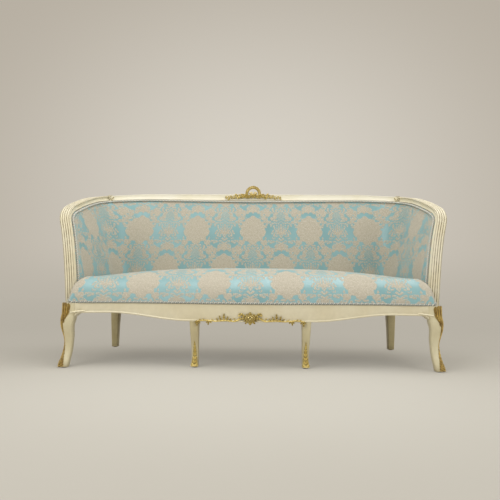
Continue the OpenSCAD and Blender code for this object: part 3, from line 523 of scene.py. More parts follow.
def gilding(name, light, warm):
    """Antique gilding: pale gold painted as a highlight on the sharp crowns, umber in the hollows that is
    partly real dirt and partly painted shade, rubbed and uneven.
    """
    p = Paint(name)
    hollow = p.attribute("glaze")
    point = Ex(p.tree, p.node("NewGeometry").outputs["Pointiness"])
    worn = p.noise(160.0, 5.0, 0.65)
    broad = p.noise(28.0, 3.0)
    # umber in the hollows and concave places: partly real dirt, partly painted shade
    dark = (hollow + p.ramp(point, 0.5, 0.42, 0.0, 0.8) + p.ramp(worn, 0.5, 0.75, 0.0, 0.3)).clamped()
    gold = p.mix(p.ramp(broad, 0.35, 0.7), light, warm)
    shade = p.mix(dark, gold, srgb(66, 50, 20))
    # painted highlight: pale gold on the sharpest convex crowns
    p.colour(p.mix(p.ramp(point, 0.53, 0.6, 0.0, 0.6), shade, srgb(240, 226, 178)))
    p.rough(p.ramp(worn, 0.3, 0.75, 0.3, 0.6))
    p.set(Metallic=0.4)
    p.bump(worn, 0.0008, 0.6)
    return p.mat


# The damask's repeat across, and its half drop as a share of it. The shapes below are in repeats.
PERIOD = 357.0
DROP = 0.678


def damask(name, beige, beige_dark, pale, blue, blue_shade_and_weave, blue_highlight):
    """A damask: a matte figure on a satin ground, drawn as a field that is positive on the ground."""
    p = Paint(name)
    t = p.tree
    u, v, _ = p.axes(p.node("UVMap", uv_map="cloth").outputs["UV"])
    # the cloth coordinates are in metres: wobble them a little, then fold them into the smallest field
    flat = p.plane(u, v)
    jag = p.noise(620.0, 1.0, 0.5, vector=flat) - 0.5
    jag_b = p.noise(480.0, 1.0, 0.5, vector=flat) - 0.5
    sway = p.noise(34.0, 2.0, 0.5, vector=flat) - 0.5
    a = PERIOD * MM
    x0 = u / a + jag * 0.012 + sway * 0.012
    y0 = v / a + jag_b * 0.012 + sway * 0.010
    k = ((y0 + DROP / 2) / DROP).floor()
    y = y0 - k * DROP
    odd = (k * 0.5 - (k * 0.5).floor()) * 2.0
    x1 = x0 + odd * 0.5
    x = abs(x1 - (x1 + 0.5).floor())
    r = length(x, y)
    angle = calc(t, "ARCTAN2", x, y)
    fold = p.plane(x, y)

    def cells(scale, feature):
        node = p.node("TexVoronoi", voronoi_dimensions="2D", feature=feature)
        node.inputs["Scale"].default_value = scale
        p.link(fold, node.inputs["Vector"])
        return Ex(t, node.outputs["Distance"])

    scallop = abs((angle * 9.0).sin())
    head = 0.214 + calc(t, "COSINE", angle).above(0.0) * 0.022 + scallop * 0.012
    outside_head = r - head

    def ellipse(cx, cy, rx, ry):
        return (1.0 - length((x - cx) / rx, (y - cy) / ry)) * min(rx, ry)

    def side(ax, ay, bx, by):
        """Positive to the left of the line from a to b."""
        n = math.hypot(bx - ax, by - ay)
        return (y - ay) * ((bx - ax) / n) - (x - ax) * ((by - ay) / n)

    def patch(*corners):
        """A convex patch, its corners named counter-clockwise."""
        field = None
        for p0, p1 in zip(corners, corners[1:] + corners[:1]):
            edge = side(*p0, *p1)
            field = edge if field is None else field.under(edge)
        return field

    # the arch over a head, notched in its middle, and the shoulders that lead on round the head
    arch = outside_head.under((0.354 - angle * angle * 0.13) - r).under((0.53 - angle) * 0.28)
    arch = arch.under(x - (r - 0.300).above(0.0) * 0.22 - 0.004)
    arch = arch.under(length(x - 0.128, y - 0.246) - 0.016)
    shoulder = outside_head.under(0.268 - r).under((angle - 0.64) * 0.25).under((2.25 - angle) * 0.25)
    # the lens at each side of a head, with a leaf's bite in its outer edge
    lens = ellipse(0.276, -0.037, 0.066, 0.172).above(ellipse(0.322, 0.035, 0.050, 0.068)).under(outside_head)
    lens = lens.under(length((x - 0.356) * 0.9, y + 0.055) - 0.030)
    lens = lens.under(length(x - 0.345, y + 0.005) - 0.006)
    # the star between the leaf bands, and its arm
    star = patch((0.280, -0.240), (0.333, -0.338), (0.413, -0.267), (0.420, -0.187), (0.360, -0.200))
    star = star.above(patch((0.356, -0.210), (0.420, -0.192), (0.467, -0.080), (0.433, -0.082),
                            (0.378, -0.158)))
    star = star.under(length(x - 0.345, y + 0.190) - 0.012)
    # eyes beside the stem and beside the vase
    eye = patch((0.073, -0.247), (0.107, -0.269), (0.140, -0.240), (0.133, -0.180), (0.080, -0.200))
    eye_b = patch((0.315, 0.275), (0.345, 0.256), (0.385, 0.288), (0.377, 0.334), (0.332, 0.338))
    eye_c = ellipse(0.200, 0.292, 0.016, 0.010).above(ellipse(0.236, 0.248, 0.009, 0.020))
    # plumes that sweep up from the crossing to the shoulder
    plume = patch((0.262, 0.250), (0.272, 0.190), (0.290, 0.168), (0.348, 0.156), (0.368, 0.170),
                  (0.335, 0.205), (0.296, 0.246))
    plume = plume.above(patch((0.332, 0.164), (0.376, 0.118), (0.408, 0.126), (0.368, 0.174)))
    plume = plume.above(patch((0.376, 0.130), (0.400, 0.070), (0.414, 0.018), (0.426, 0.048), (0.420, 0.098),
                              (0.402, 0.140)))
    spine = patch((0.434, 0.150), (0.440, 0.020), (0.450, 0.015), (0.452, 0.130))
    spine = spine.above(patch((0.468, 0.120), (0.474, -0.010), (0.483, -0.010), (0.482, 0.112)))
    # the vase on the other axis, a trellis, which crosses into the next field
    bx, ty, wrap = 0.5 - x, y - 0.238, y + DROP - 0.238

    def trellis(px, py):
        right, left = (abs(((px / 0.026 + py / slope) * math.pi).sin()) for slope in (0.040, -0.040))
        return ((right.under(left) - 0.40) * 0.012).under((1.0 - length(px / 0.078, py / 0.118)) * 0.078)

    # leaf bands: fine veins of ground, and a thin outline of the small flower
    vein = (0.0045 - abs(side(0.440, -0.045, 0.276, -0.250))).under(x - 0.310).under(0.415 - x)
    small = length(bx, y + 0.268)
    outline = (0.0040 - abs(small - 0.088)).under(y + 0.235)
    leaflet = ellipse(0.225, -0.262, 0.020, 0.010).above(ellipse(0.190, -0.300, 0.011, 0.018))
    leaflet = leaflet.above(ellipse(0.020, -0.285, 0.006, 0.030)).above(ellipse(0.048, -0.322, 0.007, 0.016))
    # filigree that curls round the crossing and under each head
    def swirls(px, py, rings, arms, share, inner, outer):
        away = length(px, py)
        curl = abs((away * rings + (calc(t, "ARCTAN2", px, py) * arms).sin() * 1.8).sin())
        return ((curl - share) * 0.040).under(away - inner).under(outer - away).under(outside_head - 0.012)

    filigree = swirls(bx, y, 54.0, 5.0, 0.84, 0.075, 0.235)
    tendrils = swirls(x, y + 0.339, 52.0, 4.0, 0.85, 0.045, 0.205).under(0.150 - abs(y + 0.30))
    # leaf lobes and notches along the edges of the large shapes, with veins that run on from the notches
    large = arch
    for shape in (shoulder, lens, star, eye, eye_b, plume):
        large = large.above(shape)
    large = large + (cells(15.0, "F1") - 0.50) * 0.050 + (cells(38.0, "F1") - 0.48) * 0.020
    veins = (0.040 - cells(15.0, "DISTANCE_TO_EDGE")) * 0.05
    veins = veins.under(large + 0.024).under(outside_head - 0.006)
    blue_field = large
    for shape in (veins, filigree, tendrils, eye_c, spine, trellis(bx, ty), trellis(x, wrap), vein, outline,
                  leaflet):
        blue_field = blue_field.above(shape)
    ground = (blue_field * 240.0 + 0.5).clamped()
    # drawing inside the figure: petals of the heads and ribs of the leaves, in the weave alone
    petal = abs((angle * 4.5 + 0.2).sin()) * 0.5 + abs((r * 40.0 - scallop).sin()) * 0.5
    inside = p.ramp(outside_head, 0.0, -0.02)
    drawing = (inside * petal + (1.0 - inside) * abs(((x - y) * 60.0).sin())).clamped()
    speckle = p.noise(900.0, 2.0, 0.7, vector=flat)
    grain = p.noise(330.0, 2.0, 0.75, vector=flat)
    weave = p.noise(2600.0, 1.0, 0.5, vector=flat)
    sheen_mottle = p.noise(5.0, 1.0, vector=flat)
    coarse = p.noise(150.0, 1.0, 0.5, vector=flat)
    matte = p.mix(p.ramp(speckle * 0.25 + grain * 0.45 + coarse * 0.30, 0.36, 0.66), beige, beige_dark)
    matte = p.mix(p.ramp(drawing, 0.1, 0.5, 0.30, 0.0), matte, beige_dark)
    matte = p.mix(p.ramp(coarse, 0.52, 0.66, 0.0, 0.55), matte, pale)
    matte = p.mix(p.ramp(speckle, 0.60, 0.72, 0.0, 0.30), matte, blue)
    # painted sheen on the satin: broad patches of a darker blue as painted shade, fine flecks of a paler blue
    # as painted highlight; the weave's dark threads are real
    satin = p.mix(p.ramp(sheen_mottle, 0.35, 0.65, 0.35, 0.75), blue_shade_and_weave, blue)
    satin = p.mix(p.ramp(grain, 0.45, 0.75, 0.0, 0.22), satin, blue_highlight)
    satin = p.mix(p.ramp(weave, 0.55, 0.75, 0.0, 0.2), satin, blue_shade_and_weave)
    p.colour(p.mix(ground, matte, satin))
    p.rough(0.85 - ground * 0.55)
    p.set(Sheen_Weight=0.2, Sheen_Roughness=0.45, Sheen_Tint=(0.92, 0.97, 1.0, 1.0), Specular_IOR_Level=0.6)
    rib, raised = (v * (math.tau / 0.0016)).sin(), 1.0 - ground
    p.bump(raised * 0.7 + speckle * 0.6 * raised + rib * 0.06 * ground + weave * 0.12, 0.0005, 0.8)
    return p.mat


def cord_cloth(name, a, b):
    """Twisted yarn: a second, darker colour painted as shade in the grooves between the strands and partly as
    a darker strand, with fine fibres.
    """
    p = Paint(name)
    groove_shade_and_strand = p.attribute("glaze")
    fibre = p.noise(1500.0, 2.0, 0.6)
    yarn = p.mix(p.ramp(groove_shade_and_strand, 0.3, 0.7), a, b)
    p.colour(p.mix(p.ramp(fibre, 0.35, 0.7, 0.0, 0.3), yarn, srgb(96, 98, 92)))
    p.rough(p.ramp(fibre, 0.3, 0.7, 0.6, 0.8))
    p.set(Sheen_Weight=0.3)
    p.bump(fibre, 0.0006, 0.7)
    return p.mat


def plain_wood(name, light, dark, axis):
    """Bare beech with its grain along one axis and small flecks."""
    p = Paint(name)

    def along_grain(share):
        return tuple(share if k == axis else 1.0 for k in range(3))

    grain = p.noise(70.0, 5.0, 0.65, along_grain(0.06))
    fleck = p.noise(500.0, 2.0, 0.5, along_grain(0.2))
    p.colour(p.mix(p.ramp(fleck, 0.6, 0.75, 0.0, 0.4), p.mix(p.ramp(grain, 0.35, 0.65), light, dark), dark))
    p.rough(p.ramp(grain, 0.3, 0.7, 0.55, 0.7))
    p.bump(grain + fleck * 0.4, 0.0005, 0.5)
    return p.mat


def woven(name, light, dark, pitch):
    """A plain weave of two crossing threads."""
    p = Paint(name)
    x, y, z = p.axes(p.object_place())
    k = math.tau / pitch
    a, b = (x * k + z * k).sin(), (y * k + z * k * 0.5).sin()
    over = a * b
    slub = p.noise(120.0, 3.0, 0.6)
    p.colour(p.mix((p.ramp(over, -0.6, 0.6) * 0.6 + slub * 0.4).clamped(), dark, light))
    p.rough(p.ramp(slub, 0.3, 0.7, 0.77, 0.85))
    p.bump(over * 0.7 + slub * 0.4, 0.0006, 0.8)
    return p.mat


def metal(name, tone, rough):
    """Drawn steel with a dull zinc bloom."""
    p = Paint(name)
    bloom = p.noise(90.0, 4.0)
    scratch = p.noise(700.0, 2.0, 0.6, (1, 0.1, 1))
    p.colour(p.mix(p.ramp(bloom, 0.35, 0.7), tone, tuple(c * 0.7 for c in tone[:3]) + (1.0,)))
    p.rough(p.ramp(scratch, 0.3, 0.7, rough - 0.1, rough + 0.1))
    p.set(Metallic=0.95)
    p.bump(scratch, 0.0002, 0.4)
    return p.mat


def nylon(name):
    p = Paint(name)
    foot_darkening = p.noise(300.0, 4.0)
    p.colour(p.mix(p.ramp(foot_darkening, 0.5, 0.75), srgb(58, 48, 38), srgb(96, 84, 70)))
    p.rough(p.ramp(foot_darkening, 0.3, 0.7, 0.45, 0.7))
    p.bump(foot_darkening, 0.0003, 0.6)
    return p.mat


UMBER, OLIVE = srgb(106, 86, 42), srgb(96, 76, 30)
CREAM = cream_paint("cream_paint", srgb(222, 215, 190), srgb(216, 206, 174), UMBER, 1.0)
# painted light: a lighter copy of the cream for the crest rail, which is lit brighter
CREAM_CREST_LIT = cream_paint("cream_paint_crest", srgb(234, 228, 208), srgb(228, 220, 194), UMBER, 0.6)
CREAM_RAIL = cream_paint("cream_paint_front_rail", srgb(224, 215, 186), srgb(218, 207, 174), UMBER, 0.4)
CREAM_LEG = cream_paint("cream_paint_legs", srgb(212, 203, 170), srgb(200, 188, 150), UMBER, 0.9)
# painted shade: darker copies of the cream for the middle legs, in the seat's shade, and for the back legs,
# in shade further back
CREAM_MIDDLE_SHADED = cream_paint("cream_paint_middle_legs", srgb(202, 192, 156), srgb(186, 173, 134),
                           srgb(104, 84, 44), 0.9)
CREAM_BACK_SHADED = cream_paint("cream_paint_back_legs", srgb(190, 176, 132), srgb(166, 150, 104),
                         srgb(104, 86, 48), 0.8)
# the ribbons' olive is partly real glaze and partly painted shade in their grooves, behind them and under the
# bands
BOW = cream_paint("cream_and_olive_glaze", srgb(226, 219, 192), srgb(208, 196, 156), OLIVE, 1.6)
GILT = gilding("antique_gilding", srgb(234, 210, 126), srgb(204, 174, 82))
GILT_LEG = gilding("antique_gilding_legs", srgb(196, 164, 84), srgb(150, 116, 48))
# the last three blues: the satin's blue, a darker blue for painted shade and the weave, and a paler blue for
# painted highlight
DAMASK = damask("damask", srgb(188, 179, 160), srgb(146, 138, 120), srgb(208, 200, 182),
                srgb(134, 170, 171), srgb(108, 147, 149), srgb(158, 189, 188))
# painted light: a paler copy of the cord's colours for the cord under the rail, which lies in the rail's
# shade
WALL_CORD_LIT = cord_cloth("gimp_yarn_pale", srgb(222, 218, 204), srgb(128, 136, 134))
CORD = cord_cloth("gimp_yarn", srgb(200, 196, 180), srgb(88, 100, 100))
BEECH_X, BEECH_Y, BEECH_Z = (plain_wood("beech_" + letter, srgb(206, 176, 134), srgb(176, 142, 98), axis)
                             for axis, letter in enumerate("xyz"))
HESSIAN = woven("hessian", srgb(176, 150, 106), srgb(112, 90, 56), 0.003)
JUTE = woven("jute_webbing", srgb(182, 156, 112), srgb(120, 96, 58), 0.004)
LINING = woven("black_lining", srgb(52, 48, 44), srgb(24, 22, 20), 0.0016)
SPRING_STEEL = metal("spring_steel", srgb(112, 112, 116), 0.42)
ZINC = metal("zinc_plate", srgb(168, 168, 172), 0.35)
NYLON = nylon("dark_nylon")

# Nodes whose shape is right keep it and get a finished material
KEPT_NODES = {"seat_cross_rails": BEECH_Y, "seat_dowels": BEECH_X, "corner_blocks": BEECH_X,
              "corner_block_screws": ZINC, "back_tack_rail": BEECH_X, "arm_tack_rail_left": BEECH_Y,
              "arm_tack_rail_right": BEECH_Y, "back_uprights": BEECH_Z, "seat_springs": SPRING_STEEL,
              "spring_clips": ZINC}
for node, material in KEPT_NODES.items():
    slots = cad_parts[node].data.materials
    slots.clear()
    slots.append(material)

# Edges sharper than this many degrees stay crisp
WOOD_SHARP, LEG_SHARP, SOFT_SHARP = 38, 50, 60

# The moulded rail
COVE_D, CREST_COVE_D, QUIRK_D, REED_MARGIN = 6.0, 2.0, 4.6, 3.0
REED_PITCH = (RAIL_W - 2 * REED_MARGIN) / REEDS
COVE_STEPS, REED_STEPS, SMOOTH_STEPS = 13, 9, 30


def section(cove, shoulder, top, glaze_and_shade_values):
    """The rail's outline: its underside with a cove, then a shoulder, its top and the other shoulder."""
    half, h = RAIL_W / 2, RAIL_T / 2
    points = [(-half, -h + 3), (-half + 1, -h + 1), (-half + 3, -h), (half - 8, -h), (half - 5, -h + 0.4),
              (half - 3, -h + 3)]
    low, high = -h + 3, h - 2 * REED_D
    for k in range(1, COVE_STEPS):
        s = k / COVE_STEPS
        points.append((half - cove * math.sin(math.pi * s) ** 0.9, low + (high - low) * s))
    near, rise, far, drop = shoulder
    side = [(half, h - 2 * REED_D), (half - near, h - 2 * REED_D + rise), (half - far, h - REED_D - drop)]
    points += side + [place for place, _ in top] + [(-x, z) for x, z in side[::-1]]
    # painted shade under the rail and at the foot of its cove
    under_shade = [0.25, 0.2, 0.1, 0.1, 0.5, 0.7, 0.35] + [0.0] * (COVE_STEPS - 3) + [0.35]
    return points, under_shade + glaze_and_shade_values[:3] + [g for _, g in top] + glaze_and_shade_values[3:]


def reeds():
    """The tops of the reeds, with dark quirks between them."""
    for k in range(REEDS * REED_STEPS + 1):
        s = k / REED_STEPS
        rise = abs(math.sin(math.pi * s))
        x, z = RAIL_W / 2 - REED_MARGIN - s * REED_PITCH, RAIL_T / 2 - QUIRK_D * (1 - rise ** 0.55)
        # dark quirks between the reeds: partly real glaze, partly painted shade
        yield (x, z), (1 - rise) ** 1.2


def smooth_top():
    for k in range(SMOOTH_STEPS + 1):
        s = k / SMOOTH_STEPS
        x = RAIL_W / 2 - REED_MARGIN - s * (RAIL_W - 2 * REED_MARGIN)
        yield (x, RAIL_T / 2 - 5 * (2 * s - 1) ** 2 + 0.2), 0.0


def rail_ring(i, points):
    k = abs(i)
    p, n, a, s = path(k), face_in(k), face_up(k), slim(k)
    return [at_hand(i, p + q[0] * n + (RAIL_T / 2 - (RAIL_T / 2 - q[1]) * s) * a) for q in points]


def rail_piece(start, end, rings, shape):
    points, glaze = shape
    b = Build()
    b.loft([rail_ring(i, points) for i in np.linspace(start, end, rings)], [glaze] * rings)
    return b


# the last lists darken the shoulders beside the top: partly real glaze, partly painted shade
REEDED = section(COVE_D, (0.6, 1.6, 2, 0.4), list(reeds()), [0.5, 0.0, 0.3, 0.3, 0.0, 0.3])
SMOOTH = section(CREST_COVE_D, (0.4, 1.4, 1.6, 1.6), list(smooth_top()), [0.35, 0.0, 0.45, 0.4, 0.0, 0.3])
crest = rail_piece(-JOINT_AT, JOINT_AT, 150, SMOOTH)
crest.done("crest_rail_carved", CREAM_CREST_LIT, "crest_rail", sharp=WOOD_SHARP)
rail_piece(ARM_JOINT_AT, LAST, 150, REEDED).done_both("arm_post_", "_carved", CREAM, sharp=WOOD_SHARP)
rail_piece(JOINT_AT, ARM_JOINT_AT, 60, REEDED).done_both("arm_rail_", "_carved", CREAM, sharp=WOOD_SHARP)


# The seat frame
FLARE_W, BEAD_D, BEAD_H = 34.0, 2.5, 9.0
LIP_BACK, LIP_RUN, LIP_OUT, LIP_STEPS = 44.0, 62.0, 1.5, 34


def rail_face(x):
    """The rail's face, which flares out at its ends to meet the legs."""
    flare = smoothstep((abs(x) - RAIL_END_X + FLARE_W) / FLARE_W)
    return front_y(x) - (LEG_OUT_Y + front_y(RAIL_END_X)) * flare


def front_rail():
    b = Build()
    rings = []
    for x in np.linspace(-RAIL_END_X, RAIL_END_X, 260):
        z, y = apron_z(x), rail_face(x)
        bead_points = [(y + BEAD_D - BEAD_D * math.sin(math.pi * s), z + BEAD_H * (0.06 + 0.88 * s))
                       for s in np.linspace(0, 1, 9)]
        points = [(y + FRAME_W, z), (y + BEAD_D, z)] + bead_points
        points += [(y + 3.0, z + 9.2), (y + BEAD_D, z + 9.8), (y + BEAD_D, FRAME_H - 6)]
        points += [(y + 2.7, FRAME_H - 3), (y + 3.6, FRAME_H - 0.9), (y + 5, FRAME_H), (y + FRAME_W, FRAME_H)]
        rings.append([np.array([x, *q]) for q in points])
    # dark under the bead and in the quirk above it: painted shade under the bead, partly real glaze in the
    # quirk
    b.loft(rings, [[0, 0.6, 0.6] + [0.0] * 8 + [0.4, 0.5, 0.2] + [0.0] * 4] * len(rings))
    # a lip that carries the rail's lower edge across the top of each leg
    shares = np.linspace(0, 1, LIP_STEPS)
    radii = [3.6 * math.sin(math.pi * min(1, 0.12 + t * 0.8)) ** 0.5 + 0.6 for t in shares]
    for hand in (-1, 1):
        lip = []
        for t in shares:
            x = RAIL_END_X - LIP_BACK + LIP_RUN * t
            y = -LEG_OUT_Y - LIP_OUT
            if x <= RAIL_END_X:
                y = rail_face(x) - LIP_OUT * smoothstep((x - RAIL_END_X + LIP_BACK) / 30)
            lip.append(np.array([hand * x, y, FRAME_LOW + 9.5 - 7.0 * t ** 1.6]))
        tube(b, lip, radii, sides=12)
        bead(b, lip[-1] + np.array([0, 0, 0.4]), 3.4)
    return b


CHAMFER, BOX_STEPS = 2.0, 14


def box_piece(lo, hi):
    """A box with rounded edges, drawn as rings along its longest side."""
    lo, hi = np.array(lo, float), np.array(hi, float)
    axis = int(np.argmax(hi - lo))
    u, w = [k for k in range(3) if k != axis]
    b, rings = Build(), []
    for t in range(BOX_STEPS + 1):
        inset = 0.0 if 0 < t < BOX_STEPS else CHAMFER * 0.6
        ring = []
        for q, (cu, cw) in enumerate(((0, 0), (1, 0), (1, 1), (0, 1))):
            for m in range(4):
                a = math.pi * (1 + q / 2 + m / 6)
                p = np.zeros(3)
                p[axis] = lo[axis] + (hi[axis] - lo[axis]) * (t / BOX_STEPS)
                p[u] = (hi[u] - CHAMFER if cu else lo[u] + CHAMFER) + (CHAMFER - inset) * math.cos(a)
                p[w] = (hi[w] - CHAMFER if cw else lo[w] + CHAMFER) + (CHAMFER - inset) * math.sin(a)
                ring.append(p)
        rings.append(ring)
    b.loft(rings)
    return b


def side_rail():
    half, bevel = FRAME_W / 2, 1.5
    front, back = LEG_C[1] + KNEE_W / 2 + GAP, BACK_Y - BACK_LEG_W / 2 - GAP
    outline = [(LEG_C[0] - half, front), (LEG_OUT_X - 2.5, front), (FOOT_X + half, -FOOT_Y),
               (FOOT_X + half, -FOOT_Y + FRAME_W), (BACK_X + half, back), (BACK_X - half, back)]
    middle = np.mean(outline, axis=0)
    b = Build()
    b.loft([[np.array([x + (inset if x < middle[0] else -inset), y, z]) for x, y in outline] for z, inset in (
        (FRAME_LOW, bevel), (FRAME_LOW + bevel, 0.0), (FRAME_H - bevel, 0.0), (FRAME_H, bevel))])
    return b


back_end = BACK_X - BACK_LEG_W / 2 - GAP
back_rail = box_piece((-back_end, BACK_Y - FRAME_W / 2, FRAME_LOW), (back_end, BACK_Y + FRAME_W / 2, FRAME_H))
back_rail.done("back_seat_rail_planed", CREAM, "back_seat_rail", sharp=WOOD_SHARP)
side_rail().done_both("side_seat_rail_", "_planed", CREAM, smooth=False)

# Legs
FRONT_LEG = [(0, 1, 0, 0, 0, 0), (0.07, 0.6, 0, 0, 0, 0), (0.17, 0, 0.25, 0, 0.5, 0), (0.29, 0, 0.8, 0, 1, 0),
             (0.44, 0, 1, 0, 1, 0), (0.58, 0, 0.65, 0, 0.72, 0.28), (0.75, 0, 0, 0.4, 0.35, 0.65),
             (0.88, 0, 0, 1, 0, 1), (1, 0, 0, 0, 0, 1)]
FRONT_STATIONS = [(GLIDE_T + (FRAME_LOW - GLIDE_T) * rise, TOE_OUT * toe - ANKLE_IN * ankle + KNEE_OUT * knee,
                   TOE_W + (ANKLE_W - TOE_W) * slim_share + (KNEE_W - TOE_W) * full_share)
                  for rise, toe, ankle, knee, slim_share, full_share in FRONT_LEG] + [(FRAME_H, 0, KNEE_W)]
MIDDLE_SIDE, MIDDLE_BACK, MIDDLE_TOP_D = 2.0, 14.0, FRAME_W - 5
MIDDLE_LEG = [(0, 1, 0.23, 0.71, 0.44), (0.1, 1, 0.08, 0.86, 0.11), (0.28, 1, 0, 1, -0.11),
              (0.5, 1, 0.23, 0.7, 0.22), (0.75, 0.5, 0.62, 0.2, 0.67), (1, 0, 1, 0, 1)]
MIDDLE_Y = front_y(MIDDLE_X) + FRAME_W / 2
MIDDLE_STATIONS = [(GLIDE_T + (APRON_LOW - GLIDE_T) * rise, MIDDLE_SIDE * aside,
                    MIDDLE_FOOT_W + (MIDDLE_TOP_W - MIDDLE_FOOT_W) * wide, MIDDLE_BACK * back,
                    MIDDLE_FOOT_W + (MIDDLE_TOP_D - MIDDLE_FOOT_W) * deep)
                   for rise, aside, wide, back, deep in MIDDLE_LEG]
BACK_SPLAY = 8.0
BACK_LEG = [(0, 1, 0), (0.4, 0.2, 0.38), (0.8, 0, 0.88), (1, 0, 1)]
BACK_STATIONS = [(GLIDE_T + (FRAME_LOW - GLIDE_T) * rise, BACK_SPLAY * out,
                  BACK_FOOT_W + (BACK_LEG_W - BACK_FOOT_W) * wide) for rise, out, wide in BACK_LEG]
BACK_STATIONS += [(FRAME_H, 0, BACK_LEG_W)]


def through(stations, s):
    """The values at a share of the way through the stations, on a smooth curve."""
    p = np.array(stations, float)
    n = len(p) - 1
    i = min(n - 1, int(s * n))
    t = s * n - i
    a, b, c, d = p[max(0, i - 1)], p[i], p[i + 1], p[min(n, i + 2)]
    square, cube = 2 * a - 5 * b + 4 * c - d, 3 * b - a - 3 * c + d
    return 0.5 * (2 * b + (c - a) * t + square * t * t + cube * t ** 3)


ROUND_STEPS = 7


def soft_square(low, high, z, rounds):
    """A square ring, each corner rounded by its share of the width."""
    ring = []
    for q in range(4):
        r = rounds[q] * (high[0] - low[0])
        for k in range(ROUND_STEPS + 1):
            a = math.pi * (1 + q / 2 + k / ROUND_STEPS / 2)
            ring.append(np.array([(low[0] + r if q in (0, 3) else high[0] - r) + r * math.cos(a),
                                  (low[1] + r if q < 2 else high[1] - r) + r * math.sin(a), z]))
    return ring


ARRIS, FOOT_DARK_H = 1, 40.0
PLAIN_ROUNDS = (0.17,) * 4
FRONT_ROUNDS = ((0.25, 0.01), (0.12, 0.085), (0.25, 0.085), (0.45, 0.085))
DIAGONAL = np.array([1, -1])


def leg(stations, steps, outline):
    """A leg through its stations, with glaze that is left off the arris and darker towards the floor. outline
    gives a ring's two corners and its roundings.
    """
    b, rings, glaze_and_shade_values = Build(), [], []
    for k in range(steps + 1):
        z, *sizes = through(stations, k / steps)
        low, high, rounds = outline(z, *sizes)
        rings.append(soft_square(low, high, z, rounds))
        # darker towards the floor
        foot_darkening = 0.5 * smoothstep((FOOT_DARK_H - z) / FOOT_DARK_H)
        glaze_and_shade_values.append([(0.0 if q == ARRIS else 0.12) + foot_darkening
                       for q in range(4) for _ in range(ROUND_STEPS + 1)])
    b.loft(rings, glaze_and_shade_values)
    return b


def front_outline(z, out, w):
    x, y = LEG_C + KNEE_W / 2 * DIAGONAL + out * DIAGONAL
    blend = smoothstep((z - FRAME_LOW + 10) / 10)
    return (x - w, y), (x, y + w), [c * (1 - blend) + top * blend for c, top in FRONT_ROUNDS]


def middle_outline(z, off, w, back, d):
    x, y = MIDDLE_X - MIDDLE_TOP_W / 2 + off, MIDDLE_Y + back
    return (x, y - d / 2), (x + w, y + d / 2), PLAIN_ROUNDS


def back_outline(z, splay, w):
    return (BACK_X - w / 2, BACK_Y + splay - w / 2), (BACK_X + w / 2, BACK_Y + splay + w / 2), PLAIN_ROUNDS


leg(FRONT_STATIONS, 90, front_outline).done_both("front_leg_", "_shaped", CREAM_LEG, sharp=LEG_SHARP)
leg(MIDDLE_STATIONS, 60, middle_outline).done_both("middle_leg_", "_shaped", CREAM_MIDDLE_SHADED, sharp=LEG_SHARP)
leg(BACK_STATIONS, 50, back_outline).done_both("back_leg_", "_shaped", CREAM_BACK_SHADED, sharp=LEG_SHARP)

FRONT_FOOT = LEG_C + (KNEE_W / 2 + TOE_OUT - TOE_W / 2) * DIAGONAL
MIDDLE_FOOT = np.array([MIDDLE_X - MIDDLE_TOP_W / 2 + MIDDLE_SIDE + MIDDLE_FOOT_W / 2,
                        MIDDLE_Y + MIDDLE_BACK * 0.71])
BACK_FOOT = np.array([BACK_X, BACK_Y + BACK_SPLAY])
GLIDE_LEVELS = ((0, GLIDE_R - 1.2), (0.6, GLIDE_R - 0.3), (1.4, GLIDE_R), (GLIDE_T, GLIDE_R))
glides = Build()
for x, y in (FRONT_FOOT, MIDDLE_FOOT, BACK_FOOT):
    glide = Build()
    glide.loft([[np.array([x + r * math.cos(a), y + r * math.sin(a), z]) for a in circle(40)]
                for z, r in GLIDE_LEVELS])
    glides.join(glide)
    glides.join(glide.mirrored())
glides.done("leg_glides_turned", NYLON, "leg_glides", sharp=LEG_SHARP)


# Upholstery
# Where a row of heads runs in the damask: its height on the walls, and its place in from the seat's foot
ROW_Z, SEAT_ROW = 728.0, 112.0
WALL_END = 32


def wall_cloth(name, faces_at, bulges, nodes, levels, flip_u=False):
    """A closed slab of the wall between two faces, with cloth coordinates along the wall and up it."""
    half = np.linspace(0, WALL_END, 161)
    stations = np.concatenate([-half[:0:-1], half])
    ts = 0.5 - 0.5 * np.cos(np.linspace(0, math.pi, levels))
    run = run_along(np.array([wall(i, 0.5, faces_at[0], bulges[0]) for i in stations]))
    run -= run[-1] / 2
    verts, uvs = [], []
    for i, u in zip(stations, run):
        front, rear = ([wall(i, t, w, bulge) for t in ts] for w, bulge in zip(faces_at, bulges))
        ring = rear + front[::-1]
        verts += ring
        uvs += [(-u if flip_u else u, p[2] - ROW_Z) for p in ring]
    faces = closed_faces(len(stations), 2 * levels)
    obj = make(name, verts, faces, DAMASK, nodes, np.array(uvs) * MM, sharp=SOFT_SHARP)


wall_cloth("inside_upholstery", (INSIDE_FACE, PAD_BACK), (SWELL, 1.0),
           ["inside_cover", "inside_back_pad", "inside_arm_pad_left", "inside_arm_pad_right"], 34)
wall_cloth("outside_upholstery", (OUTSIDE_FACE + CLOTH_T, OUTSIDE_FACE), (-OUTSIDE_SWELL, -OUTSIDE_SWELL),
           ["outside_cover"], 18, flip_u=True)

BORDER_TOP = FRAME_H + BORDER_H
# The height that the crown shows, 6 mm less than the CAD model's
CROWN_SHOWN = SEAT_H - 6
DEEP_POWER, WIDE_POWER = 4, 2.8


def crown_z(x, y):
    """The crown's height, which falls to all four edges without a ridge at the corners."""
    edge = seat_front_y(x, BORDER_TOP) if y < CROWN_Y else seat_back_y(BORDER_TOP)
    deep, wide = (y - CROWN_Y) / (edge - CROWN_Y), abs(x) / seat_side_x(y, BORDER_TOP)
    rise = max(0.0, 1 - deep ** DEEP_POWER) * max(0.0, 1 - wide ** WIDE_POWER)
    return BORDER_TOP + (CROWN_SHOWN - BORDER_TOP) * rise


